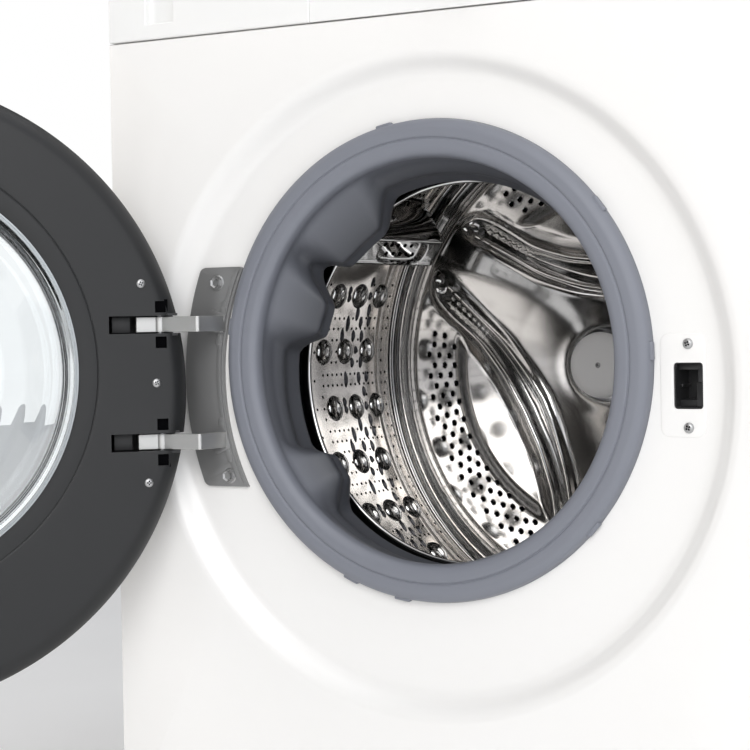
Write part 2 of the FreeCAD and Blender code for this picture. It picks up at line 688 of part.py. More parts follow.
def door_hook():
    stem = block(LOCK_X - 4, LOCK_X + 4, depth(-24), depth(34), DISH_Z - 6, DISH_Z + 6)
    nose = block(LOCK_X - 8, LOCK_X + 4, depth(26), depth(34), DISH_Z - 6, DISH_Z + 6)
    foot_plate = block(LOCK_X - 14, LOCK_X + 14, depth(-24), depth(-20), DISH_Z - 16, DISH_Z + 16)
    return fuse([stem, nose, foot_plate])


def hinge_pins():
    pins = []
    for z in ARM_Z:
        base = V(PIN_X, depth(PIN_DEPTH), z)
        pins.append(rod(PIN_R, base - UP * 19, base + UP * 19))
    return Part.makeCompound(pins)


def door_screws():
    """Cross-recessed screws through the inner cover, their heads on the side that faces the drum."""
    screws = []
    for x, z in door_screw_places():
        head = disc(3.9, x, z, DOOR_FACE, DOOR_FACE + 1.8)
        for half_x, half_z in ((2.2, 0.5), (0.5, 2.2)):
            head = head.cut(block(x - half_x, x + half_x, depth(DOOR_FACE + 0.9), depth(DOOR_FACE + 2),
                                  z - half_z, z + half_z))
        screws.append(head.fuse(disc(2.0, x, z, DOOR_FACE - 10, DOOR_FACE)))
    return Part.makeCompound(screws)


# ---------------------------------------------------------------- controls and dispenser

def control_panel():
    """The fascia right of the drawer and the set-back plate behind the drawer's front."""
    back = FRONT + FLANGE - 0.2
    fascia = block(DRAWER_X + 0.6, HALF, FRONT, back, SEAM_Z + 0.6, LID_Z)
    fascia = fascia.cut(block(DRAWER_X + 3.6, HALF - 3, FRONT + PANEL_T, back + 1, SEAM_Z + 3.6, LID_Z - 3))
    plate = block(-HALF, DRAWER_X + 2, back - 3, back, SEAM_Z + 0.6, LID_Z)
    x0, x1, z0, z1 = TRAY
    window = block(x0 - 3, x1 + 3, FRONT + 10, FRONT + 30, z0 - 3, z1 + 4)
    panel = fascia.fuse(plate).cut(window)
    panel = panel.cut(block(DISPLAY[0], DISPLAY[1], FRONT - 1, FRONT + 1.6, DISPLAY[2], DISPLAY[3]))
    panel = panel.cut(disc(4.1, KNOB_X, CONTROL_Z, -5, 10))
    for name, x in BUTTON_X.items():
        panel = panel.cut(disc(BUTTON_R[name] + 0.4, x, CONTROL_Z, -5, 10))
    return panel.removeSplitter()


def display_window():
    return block(DISPLAY[0], DISPLAY[1], FRONT - 0.4, FRONT + 1.6, DISPLAY[2], DISPLAY[3])


def control_board():
    board = block(-80, 286, FRONT + 24, FRONT + 26, 734, 812)
    chips = [block(x, x + 24, FRONT + 26, FRONT + 38, 744, 768) for x in (-60, 0, 60, 120, 180, 240)]
    return fuse([board] + chips)


def program_knob():
    grip = disc(KNOB_R, KNOB_X, CONTROL_Z, -19, -1)
    for i in range(36):
        flute = disc(1.0, KNOB_X + KNOB_R + 0.4, CONTROL_Z, -20, -3)
        flute.rotate(V(KNOB_X, 0, CONTROL_Z), BACK, 10 * i)
        grip = grip.cut(flute)
    return grip.fuse(disc(4.0, KNOB_X, CONTROL_Z, -1, 14))


def push_button(name):
    radius = BUTTON_R[name]
    cap = disc(radius, BUTTON_X[name], CONTROL_Z, -2.0, 8)
    flange = disc(radius + 2, BUTTON_X[name], CONTROL_Z, 6.2, 8)
    return cap.fuse(flange)


def drawer_tray():
    x0, x1, z0, z1 = TRAY
    tray = block(x0, x1, FRONT + DRAWER_T, FRONT + 220, z0, z1)
    cell_walls = [x0 + 2.5, x0 + 56, x0 + 108, x1]
    for left, right in zip(cell_walls, cell_walls[1:]):
        tray = tray.cut(block(left, right - 2.5, FRONT + DRAWER_T + 3, FRONT + 217, z0 + 3, z1 + 1))
    return tray


def drawer_front():
    face = block(-HALF + 1, DRAWER_X, FRONT, FRONT + DRAWER_T, SEAM_Z + 0.6, LID_Z - 0.6)
    x0, x1, z0, z1 = PULL
    return face.cut(block(x0, x1, FRONT - 1, FRONT + DRAWER_T - 3, z0, z1))


def dispenser_housing():
    x0, x1, z0, z1 = TRAY
    box = block(x0 - 5, x1 + 5, FRONT + FLANGE + 2, FRONT + 240, z0 - 5, z1 + 14)
    box = box.cut(block(x0 - 2.5, x1 + 2.5, FRONT + FLANGE, FRONT + 237, z0 - 2.5, z1 + 11))
    outlet = V(SPIGOT_X, depth(SPIGOT_D), 0)
    box = box.fuse(rod(17, outlet + UP * 712, outlet + UP * (z0 - 3)))
    return box.cut(rod(14, outlet + UP * 710, outlet + UP * (z0 + 5)))


def dispenser_hose():
    base = V(SPIGOT_X, depth(SPIGOT_D), 0)
    sleeve = tube(22, 18.4, base + UP * 669, base + UP * 722)
    folds = [tube(25, 21, base + UP * z, base + UP * (z + 4)) for z in range(684, 716, 8)]
    return fuse([sleeve] + folds)


# ---------------------------------------------------------------- drain

def drain_pump():
    y0 = FRONT + 24
    chamber = tube(38, 31.5, V(FILTER_X, y0, FILTER_Z), V(FILTER_X, y0 + 90, FILTER_Z))
    back_wall = rod(38, V(FILTER_X, y0 + 90, FILTER_Z), V(FILTER_X, y0 + 96, FILTER_Z))
    motor = rod(27, V(FILTER_X, y0 + 96, FILTER_Z), V(FILTER_X, y0 + 150, FILTER_Z))
    stand = block(FILTER_X - 30, FILTER_X + 30, y0 + 10, y0 + 80, SKIRT_Z + 5, FILTER_Z - 33)
    inlet = rod(19, V(FILTER_X + 34, y0 + 55, FILTER_Z + 6), V(FILTER_X + 62, y0 + 55, FILTER_Z + 6))
    outlet = rod(11, V(FILTER_X - 34, y0 + 60, FILTER_Z), V(FILTER_X - 54, y0 + 60, FILTER_Z))
    pump = fuse([chamber, back_wall, motor, stand, inlet, outlet])
    return pump.cut(rod(31.5, V(FILTER_X, y0 - 1, FILTER_Z), V(FILTER_X, y0 + 90, FILTER_Z)))


def filter_plug():
    y0 = FRONT + 24
    cap = rod(34, V(FILTER_X, y0 - 8, FILTER_Z), V(FILTER_X, y0 - 0.3, FILTER_Z))
    handle = block(FILTER_X - 24, FILTER_X + 24, y0 - 19, y0 - 8, FILTER_Z - 3.5, FILTER_Z + 3.5)
    barrel = rod(31, V(FILTER_X, y0 - 0.3, FILTER_Z), V(FILTER_X, y0 + 40, FILTER_Z))
    return fuse([cap, handle, barrel])


def filter_flap():
    x0, x1, z0, z1 = FLAP
    flap = block(x0, x1, FRONT, FRONT + 3, z0, z1)
    grip = block(x0 + 45, x1 - 45, FRONT + 1, FRONT + 4, z1 - 9, z1 + 1)
    return flap.cut(grip)


def sump_hose():
    y_pump = FRONT + 79
    start = V(0, depth(SUMP_D), 170)
    route = [start, V(0, depth(SUMP_D), 116), V(-52, (depth(SUMP_D) + y_pump) / 2 - 20, 96),
             V(FILTER_X + 108, y_pump, FILTER_Z + 6), V(FILTER_X + 46, y_pump, FILTER_Z + 6)]
    return bent_tube(route, 28, 24.4, 34)


def drain_hose():
    y_pump = FRONT + 84
    x_side = -278.0
    route = [V(FILTER_X - 39, y_pump, FILTER_Z), V(x_side, y_pump, FILTER_Z), V(x_side, y_pump + 70, FILTER_Z),
             V(OUTLET_X, REAR - 70, OUTLET_Z), V(OUTLET_X, REAR - 6, OUTLET_Z)]
    hose = bent_tube(route, OUTLET_R, 11.2, 19)
    collar = tube(OUTLET_R + 0.4, 9.5, V(OUTLET_X, REAR - 6, OUTLET_Z), V(OUTLET_X, REAR + 0.5, OUTLET_Z))
    spigot = tube(12.5, 9.5, V(OUTLET_X, REAR, OUTLET_Z), V(OUTLET_X, REAR + 24, OUTLET_Z))
    return fuse([hose, collar, spigot])


def export(name, shape):
    solids = shape.Solids
    volume = sum(s.Volume for s in solids)
    if not shape.isValid() or volume <= 0:
        raise RuntimeError(name + " is not a valid solid")
    result = solids[0] if len(solids) == 1 else Part.makeCompound(solids)
    result.exportStep("parts/" + name + ".step")
    print(f"{name:22s} solids {len(solids):3d}  volume {volume / 1000:10.1f} cm3")


def main():
    os.makedirs("parts", exist_ok=True)
    fixed = [front_panel, rear_panel, base_pan, lid, inlet_valves, shipping_hole_caps, hinge_plate, hinge_arms,
             front_panel_screws, door_lock, gasket, gasket_clamp, tub_front, tub_rear, bearings, tub_bolts,
             motor_stator, heater, damper_rods, damper_cylinders, springs, drum_front, drum_cylinder,
             drum_back, lifters, spider, drum_shaft, rotor, hub_cap, control_panel, display_window, control_board,
             program_knob, drawer_tray, drawer_front, dispenser_housing, dispenser_hose, drain_pump, filter_plug,
             filter_flap, sump_hose, drain_hose]
    door = [door_inner_frame, door_rim, door_outer_glass, glass_ring, glass_bowl, door_hook, hinge_pins, door_screws]
    for make in fixed:
        export(make.__name__, make())
    for make in door:
        export(make.__name__, swing(make()))
    export("left_side_panel", side_panel(-1))
    export("right_side_panel", side_panel(1))
    export("counterweight_upper", counterweight(28, 152))
    export("counterweight_lower", counterweight(208, 252).fuse(counterweight(288, 332)))
    for name in BUTTON_X:
        export(name, push_button(name))
    for number, (x, y) in enumerate(foot_places(), 1):
        export(f"foot_{number}", foot(x, y))


main()
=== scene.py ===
"""Looks of a front load washing machine with its round door standing open.

Meshes are drawn in millimetres in the machine's frame and brought to metres when a piece is made:
+X to the right seen from the front, +Y to the back, +Z up.  Door pieces are drawn shut, then swung.
"""
import json
import math

import bmesh
import bpy
from mathutils import Matrix, Vector


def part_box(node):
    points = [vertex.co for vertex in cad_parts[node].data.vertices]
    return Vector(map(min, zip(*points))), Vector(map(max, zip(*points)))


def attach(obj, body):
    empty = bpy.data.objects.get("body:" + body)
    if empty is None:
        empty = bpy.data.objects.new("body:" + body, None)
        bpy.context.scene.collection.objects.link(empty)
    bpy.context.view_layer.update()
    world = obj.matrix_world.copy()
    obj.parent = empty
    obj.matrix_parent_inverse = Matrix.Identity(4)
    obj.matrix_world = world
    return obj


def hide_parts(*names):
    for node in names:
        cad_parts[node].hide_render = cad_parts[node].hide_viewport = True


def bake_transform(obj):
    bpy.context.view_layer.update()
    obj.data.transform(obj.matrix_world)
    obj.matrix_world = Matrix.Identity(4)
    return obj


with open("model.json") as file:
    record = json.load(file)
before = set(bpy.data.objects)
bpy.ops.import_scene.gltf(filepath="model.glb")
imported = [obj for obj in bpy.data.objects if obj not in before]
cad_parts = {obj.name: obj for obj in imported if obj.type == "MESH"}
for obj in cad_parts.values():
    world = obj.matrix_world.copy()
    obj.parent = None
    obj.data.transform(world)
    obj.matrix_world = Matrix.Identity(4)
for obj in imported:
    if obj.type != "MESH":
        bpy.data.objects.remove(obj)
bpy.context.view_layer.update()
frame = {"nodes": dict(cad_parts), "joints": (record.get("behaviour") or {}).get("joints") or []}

MM = 0.001


def span(node):
    low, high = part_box(node)
    return low / MM, high / MM


def middle_z(node):
    low, high = span(node)
    return (low.z + high.z) / 2


JOINTS = {joint["name"]: joint for joint in frame["joints"]}
HINGE = Vector(JOINTS["door_hinge"]["pos_m"]) / MM
DOOR_OPEN = math.radians(JOINTS["door_hinge"]["range_deg"][1])
PANEL_LOW, PANEL_HIGH = span("front_panel")
FRONT = PANEL_LOW.y
HALF = PANEL_HIGH.x
OPEN_Z = middle_z("gasket")
DISH_Z = middle_z("door_outer_glass")
DRUM_Z = middle_z("drum_cylinder")
GLASS_Z = middle_z("glass_bowl")
DRUM_R = span("drum_cylinder")[1].x
DISH_R = 260.0
FLOOR_R = 240.0
DISH_DEPTH = 14.0
HOLE_R = 178.0
LOCK_X = 215.2
LOCK_SCREW = 30.6
LOCK_HALF_W = 11.35
LOCK_HALF_H = 16.9
ARM_Z = (OPEN_Z + 32.4, OPEN_Z - 63.6)
ROUND = 256
FACE = -11.5
EDGE = -26.0
DOOR_R = 254.3


# ---------------------------------------------------------------- mesh tools

def rounded(points, radius, steps=4, closed=False):
    """The outline with its corners rounded off by short curves."""
    count = len(points)
    result = []
    for i, corner in enumerate(points):
        if not closed and i in (0, count - 1):
            result.append(corner)
            continue
        here = Vector(corner)
        before = Vector(points[i - 1]) - here
        after = Vector(points[(i + 1) % count]) - here
        start = here + before.normalized() * min(radius, before.length * 0.48)
        end = here + after.normalized() * min(radius, after.length * 0.48)
        for k in range(steps + 1):
            t = k / steps
            result.append(tuple(start * (1 - t) ** 2 + here * 2 * t * (1 - t) + end * t * t))
    return result


def repeat(bm, shape, places):
    """Adds a copy of a small mesh at each place, then frees the small mesh."""
    stamp = bpy.data.meshes.new("stamp")
    shape.to_mesh(stamp)
    shape.free()
    for place in places:
        copy = stamp.copy()
        copy.transform(place)
        bm.from_mesh(copy)
        bpy.data.meshes.remove(copy)
    bpy.data.meshes.remove(stamp)


def round_line(degrees, z):
    """A turn about the front to back line at height z, anticlockwise seen from the front."""
    middle = Matrix.Translation((0, 0, z))
    return middle @ Matrix.Rotation(math.radians(-degrees), 4, "Y") @ middle.inverted()


def slice_of(profile, z, degrees, steps, closed=False):
    """The part of a spun shape between the right hand side and an angle; profile is (radius, depth)."""
    bm = bmesh.new()
    verts = [bm.verts.new((r, FRONT + d, z)) for r, d in profile]
    edges = [bm.edges.new(pair) for pair in zip(verts, verts[1:])]
    if closed:
        edges.append(bm.edges.new((verts[-1], verts[0])))
    bmesh.ops.spin(bm, geom=verts + edges, cent=(0, FRONT, z), axis=(0, -1, 0), angle=math.radians(degrees),
                   steps=steps)
    return bm


def lathe(bm, profile, z, steps=ROUND, closed=False):
    """Spins an outline about the front to back line at height z, in eight equal slices."""
    repeat(bm, slice_of(profile, z, 45, steps // 8, closed), [round_line(45 * i, z) for i in range(8)])
    bmesh.ops.remove_doubles(bm, verts=bm.verts, dist=0.002)


def circle(bm, radius, d, z):
    """A ring of vertices facing the front."""
    place = Matrix.Translation((0, FRONT + d, z)) @ Matrix.Rotation(math.pi / 2, 4, "X")
    return bmesh.ops.create_circle(bm, cap_ends=False, radius=radius, segments=ROUND, matrix=place)["verts"]


def loop_edges(verts):
    chosen = set(verts)
    return [e for e in {e for v in verts for e in v.link_edges} if set(e.verts) <= chosen]


def at_radius(bm, radius, z):
    """The vertices that lie at a radius from the front to back line at height z."""
    return [v for v in bm.verts if abs(Vector((v.co.x, v.co.z - z)).length - radius) < 0.01]


def bridge(bm, first, second):
    bmesh.ops.bridge_loops(bm, edges=loop_edges(first) + loop_edges(second))


def round_edges(bm, edges, offset, segments, clamp=False):
    """Rounds edges to a radius of about offset."""
    return bmesh.ops.bevel(bm, geom=edges, offset=offset, affect="EDGES", segments=segments, profile=0.5,
                           material=-1, clamp_overlap=clamp)


def runs_back(edge):
    """Whether an edge runs from front to back."""
    return abs((edge.verts[0].co - edge.verts[1].co).normalized().y) > 0.9


def box(bm, x0, x1, d0, d1, z0, z1, bevel=0.0, segments=3, upright=0.0):
    """A block with rounded edges; upright rounds the four edges that run front to back."""
    place = Matrix.Translation(((x0 + x1) / 2, FRONT + (d0 + d1) / 2, (z0 + z1) / 2))
    place = place @ Matrix.Diagonal((x1 - x0, d1 - d0, z1 - z0, 1))
    verts = bmesh.ops.create_cube(bm, size=1, matrix=place)["verts"]
    edges = list({e for v in verts for e in v.link_edges})
    if upright:
        made = round_edges(bm, [e for e in edges if runs_back(e)], upright, 6)
        verts = [v for v in set(verts) | set(made["verts"]) if v.is_valid]
        edges = list({e for v in verts for e in v.link_edges if not e.is_wire})
        if bevel:
            edges = [e for e in edges if abs((e.verts[0].co - e.verts[1].co).normalized().y) < 0.1]
    if bevel:
        round_edges(bm, edges, bevel, segments, clamp=True)


def rod(bm, radius, start, end, steps=32, tip=None):
    """A closed cylinder, or a cone where tip gives the far radius."""
    start, end = Vector(start), Vector(end)
    way = end - start
    place = Matrix.Translation((start + end) / 2) @ way.to_track_quat("Z", "Y").to_matrix().to_4x4()
    bmesh.ops.create_cone(bm, cap_ends=True, segments=steps, radius1=radius, radius2=tip or radius,
                          depth=way.length, matrix=place)


def turn(bm, degrees, verts, centre):
    """Turns vertices anticlockwise, seen from the front, about a line that runs front to back."""
    bmesh.ops.rotate(bm, verts=verts, cent=centre, matrix=Matrix.Rotation(math.radians(-degrees), 3, "Y"))


def swing(bm):
    """Brings pieces that are drawn with the door shut to where the open door holds them."""
    bmesh.ops.rotate(bm, verts=bm.verts, cent=HINGE, matrix=Matrix.Rotation(-DOOR_OPEN, 3, "Z"))


def mesh_object(bm, name, sharp=32.0, recalc=True):
    """A smooth-shaded object in metres whose edges stay crisp where they turn more than sharp degrees."""
    if recalc:
        bmesh.ops.recalc_face_normals(bm, faces=bm.faces)
    bmesh.ops.scale(bm, vec=(MM, MM, MM), verts=bm.verts)
    mesh = bpy.data.meshes.new(name)
    bm.to_mesh(mesh)
    bm.free()
    mesh.shade_smooth()
    mesh.set_sharp_from_angle(angle=math.radians(sharp))
    piece = bpy.data.objects.new(name, mesh)
    bpy.context.scene.collection.objects.link(piece)
    return piece


def subtract(piece, bm):
    """Cuts the shapes in bm out of a piece."""
    tool = mesh_object(bm, "cutter")
    cut = piece.modifiers.new("cut", "BOOLEAN")
    cut.operation = "DIFFERENCE"
    cut.solver = "MANIFOLD"
    cut.object = tool
    settle(piece)
    bpy.data.objects.remove(tool)


def settle(piece, sharp=32.0):
    """Makes the modifiers' result the piece's own mesh."""
    graph = bpy.context.evaluated_depsgraph_get()
    result = bpy.data.meshes.new_from_object(piece.evaluated_get(graph))
    piece.modifiers.clear()
    old = piece.data
    piece.data = result
    bpy.data.meshes.remove(old)
    result.shade_smooth()
    result.set_sharp_from_angle(angle=math.radians(sharp))


def dress(piece, body, finish, slot, *nodes):
    """Gives a piece its finish and its body and hides the nodes it stands for; the slot argument is not used.
    """
    if finish:
        piece.data.materials.clear()
        piece.data.materials.append(finish)
    if body:
        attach(piece, body)
    if nodes:
        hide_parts(*nodes)
    return piece


def paint(node, finish):
    """Gives a CAD node that stays in view its finish."""
    holder = frame["nodes"][node]
    holder.data.materials.clear()
    holder.data.materials.append(finish)


def softened(node, width, finish, body, slot):
    """A merged copy of a node that stands for it, with its sharp edges rounded unless width is 0."""
    bm = bmesh.new()
    bm.from_mesh(frame["nodes"][node].data)
    bmesh.ops.scale(bm, vec=(1 / MM, 1 / MM, 1 / MM), verts=bm.verts)
    bmesh.ops.remove_doubles(bm, verts=bm.verts, dist=0.002)
    bmesh.ops.dissolve_limit(bm, angle_limit=math.radians(1.0), verts=bm.verts, edges=bm.edges,
                             use_dissolve_boundaries=False)
    if width:
        hard = [e for e in bm.edges if len(e.link_faces) == 2 and e.calc_face_angle(0) > math.radians(50)]
        round_edges(bm, hard, width, 3, clamp=True)
    return dress(mesh_object(bm, node + "_finished", 12, recalc=False), body, finish, slot, node)


# ---------------------------------------------------------------- effects shared by the finishes

def value_group(name, inputs, outputs):
    """An empty group with float or vector inputs and float outputs."""
    group = bpy.data.node_groups.new(name, "ShaderNodeTree")
    for label, kind, default in inputs:
        socket = group.interface.new_socket(label, in_out="INPUT", socket_type=kind)
        socket.default_value = default
    for label in outputs:
        group.interface.new_socket(label, in_out="OUTPUT", socket_type="NodeSocketFloat")
    return group, group.nodes.new("NodeGroupInput"), group.nodes.new("NodeGroupOutput")


def grain_group():
    """Fine and broad unevenness on object coordinates."""
    group, inlet, outlet = value_group("surface_grain", [("Fine scale", "NodeSocketFloat", 900.0),
                                                         ("Broad scale", "NodeSocketFloat", 9.0)],
                                       ["Fine", "Broad"])
    where = group.nodes.new("ShaderNodeTexCoord")
    for label, source, detail in (("Fine", "Fine scale", 3.0), ("Broad", "Broad scale", 4.0)):
        noise = group.nodes.new("ShaderNodeTexNoise")
        noise.inputs["Detail"].default_value = detail
        group.links.new(where.outputs["Object"], noise.inputs["Vector"])
        group.links.new(inlet.outputs[source], noise.inputs["Scale"])
        group.links.new(noise.outputs["Fac"], outlet.inputs[label])
    return group


def brush_group():
    """Streaks: noise stretched by a different scale along each axis."""
    group, inlet, outlet = value_group("brushed_streaks", [("Stretch", "NodeSocketVector", (1.0, 1.0, 1.0))],
                                       ["Streak"])
    where = group.nodes.new("ShaderNodeTexCoord")
    scaled = group.nodes.new("ShaderNodeVectorMath")
    scaled.operation = "MULTIPLY"
    noise = group.nodes.new("ShaderNodeTexNoise")
    noise.inputs["Scale"].default_value = 1.0
    noise.inputs["Detail"].default_value = 5.0
    noise.inputs["Roughness"].default_value = 0.65
    group.links.new(where.outputs["Object"], scaled.inputs[0])
    group.links.new(inlet.outputs["Stretch"], scaled.inputs[1])
    group.links.new(scaled.outputs[0], noise.inputs["Vector"])
    group.links.new(noise.outputs["Fac"], outlet.inputs["Streak"])
    return group


def turned_group():
    """Marks left by spinning a sheet: bands that depend on the distance from the drum's line."""
    group, inlet, outlet = value_group("turned_marks", [("Rings", "NodeSocketFloat", 2500.0)], ["Ring"])
    where = group.nodes.new("ShaderNodeTexCoord")
    moved = group.nodes.new("ShaderNodeVectorMath")
    moved.operation = "SUBTRACT"
    moved.inputs[1].default_value = (0, 0, DRUM_Z * MM)
    flat = group.nodes.new("ShaderNodeVectorMath")
    flat.operation = "MULTIPLY"
    flat.inputs[1].default_value = (1, 0, 1)
    reach = group.nodes.new("ShaderNodeVectorMath")
    reach.operation = "LENGTH"
    noise = group.nodes.new("ShaderNodeTexNoise")
    noise.noise_dimensions = "1D"
    noise.inputs["Detail"].default_value = 6.0
    noise.inputs["Roughness"].default_value = 0.7
    group.links.new(where.outputs["Object"], moved.inputs[0])
    group.links.new(moved.outputs[0], flat.inputs[0])
    group.links.new(flat.outputs[0], reach.inputs[0])
    group.links.new(reach.outputs["Value"], noise.inputs["W"])
    group.links.new(inlet.outputs["Rings"], noise.inputs["Scale"])
    group.links.new(noise.outputs["Fac"], outlet.inputs["Ring"])
    return group


GRAIN = grain_group()
BRUSH = brush_group()
TURNED = turned_group()


def material(name, colour, roughness, **sockets):
    """A finish with its constant numbers set on the shader; returns material, tree and shader."""
    made = bpy.data.materials.new(name)
    made.use_nodes = True
    shader = made.node_tree.nodes["Principled BSDF"]
    shader.inputs["Base Color"].default_value = (*colour, 1)
    shader.inputs["Roughness"].default_value = roughness
    for label, number in sockets.items():
        shader.inputs[label.replace("_", " ")].default_value = number
    return made, made.node_tree, shader


def use_group(tree, group, **values):
    node = tree.nodes.new("ShaderNodeGroup")
    node.node_tree = group
    for label, number in values.items():
        node.inputs[label.replace("_", " ")].default_value = number
    return node


def spread(tree, source, low, high, target):
    """Feeds a noise value, taken from 0.3..0.7 to low..high, into a shader socket."""
    reach = tree.nodes.new("ShaderNodeMapRange")
    reach.inputs["From Min"].default_value = 0.3
    reach.inputs["From Max"].default_value = 0.7
    reach.inputs["To Min"].default_value = low
    reach.inputs["To Max"].default_value = high
    tree.links.new(source, reach.inputs["Value"])
    tree.links.new(reach.outputs["Result"], target)


def tint(tree, source, first, second, target):
    """Feeds a colour between two shades into a shader socket."""
    mix = tree.nodes.new("ShaderNodeMix")
    mix.data_type = "RGBA"
    mix.inputs["A"].default_value = (*first, 1)
    mix.inputs["B"].default_value = (*second, 1)
    tree.links.new(source, mix.inputs["Factor"])
    tree.links.new(mix.outputs["Result"], target)


def emboss(tree, shader, source, distance):
    """Raises the surface by a value, as far as distance in metres."""
    bump = tree.nodes.new("ShaderNodeBump")
    bump.inputs["Distance"].default_value = distance
    bump.inputs["Strength"].default_value = 1.0
    tree.links.new(source, bump.inputs["Height"])
    tree.links.new(bump.outputs["Normal"], shader.inputs["Normal"])


def plain_finish(name, colour, roughness, grain=900.0, depth=0.00002, vary=0.04, shade=0.06, **sockets):
    """A moulded, painted or rubber finish: fine grain, uneven gloss and a slight drift of its colour."""
    made, tree, shader = material(name, colour, roughness, **sockets)
    group = use_group(tree, GRAIN, Fine_scale=grain)
    spread(tree, group.outputs["Broad"], roughness - vary, roughness + vary, shader.inputs["Roughness"])
    darker = tuple(c * (1 - shade) for c in colour)
    tint(tree, group.outputs["Broad"], darker, colour, shader.inputs["Base Color"])
    emboss(tree, shader, group.outputs["Fine"], depth)
    return made


def brushed_finish(name, colour, roughness, stretch):
    """Bare metal with streaks along one direction."""
    made, tree, shader = material(name, colour, roughness, Metallic=1.0)
    group = use_group(tree, BRUSH, Stretch=stretch)
    spread(tree, group.outputs["Streak"], roughness * 0.7, roughness * 1.4, shader.inputs["Roughness"])
    darker = tuple(c * 0.82 for c in colour)
    tint(tree, group.outputs["Streak"], darker, colour, shader.inputs["Base Color"])
    emboss(tree, shader, group.outputs["Streak"], 0.00003)
    return made


def seal_painted_shade_finish(name, colour, roughness):
    """Satin rubber that darkens towards its deep folds with painted shade, its colour falling to 0.3 of
    itself from 9 to 40 mm behind the front.
    """
    made, tree, shader = material(name, colour, roughness, Specular_IOR_Level=0.45)
    group = use_group(tree, GRAIN, Fine_scale=2600.0)
    where = tree.nodes.new("ShaderNodeTexCoord")
    split = tree.nodes.new("ShaderNodeSeparateXYZ")
    tree.links.new(where.outputs["Object"], split.inputs[0])
    # painted shade: the rubber's colour darkens the deeper it lies in the machine
    depth = tree.nodes.new("ShaderNodeMapRange")
    depth.inputs["From Min"].default_value = (FRONT + 9) * MM
    depth.inputs["From Max"].default_value = (FRONT + 40) * MM
    tree.links.new(split.outputs["Y"], depth.inputs["Value"])
    tint(tree, depth.outputs["Result"], colour, tuple(c * 0.3 for c in colour), shader.inputs["Base Color"])
    spread(tree, group.outputs["Broad"], roughness - 0.06, roughness + 0.06, shader.inputs["Roughness"])
    emboss(tree, shader, group.outputs["Fine"], 0.00002)
    return made


def turned_finish(name, colour, roughness, rings, depth):
    """Sheet metal spun to shape, with fine marks round the drum's line."""
    made, tree, shader = material(name, colour, roughness, Metallic=1.0)
    group = use_group(tree, TURNED, Rings=rings)
    spread(tree, group.outputs["Ring"], roughness * 0.75, roughness * 1.3, shader.inputs["Roughness"])
    emboss(tree, shader, group.outputs["Ring"], depth)
    return made


def glass_finish(name, colour):
    """Clear glass with faint smears in its polish."""
    made, tree, shader = material(name, colour, 0.0, Transmission_Weight=1.0, IOR=1.5)
    group = use_group(tree, GRAIN, Fine_scale=60.0, Broad_scale=6.0)
    spread(tree, group.outputs["Broad"], 0.0, 0.015, shader.inputs["Roughness"])
    return made


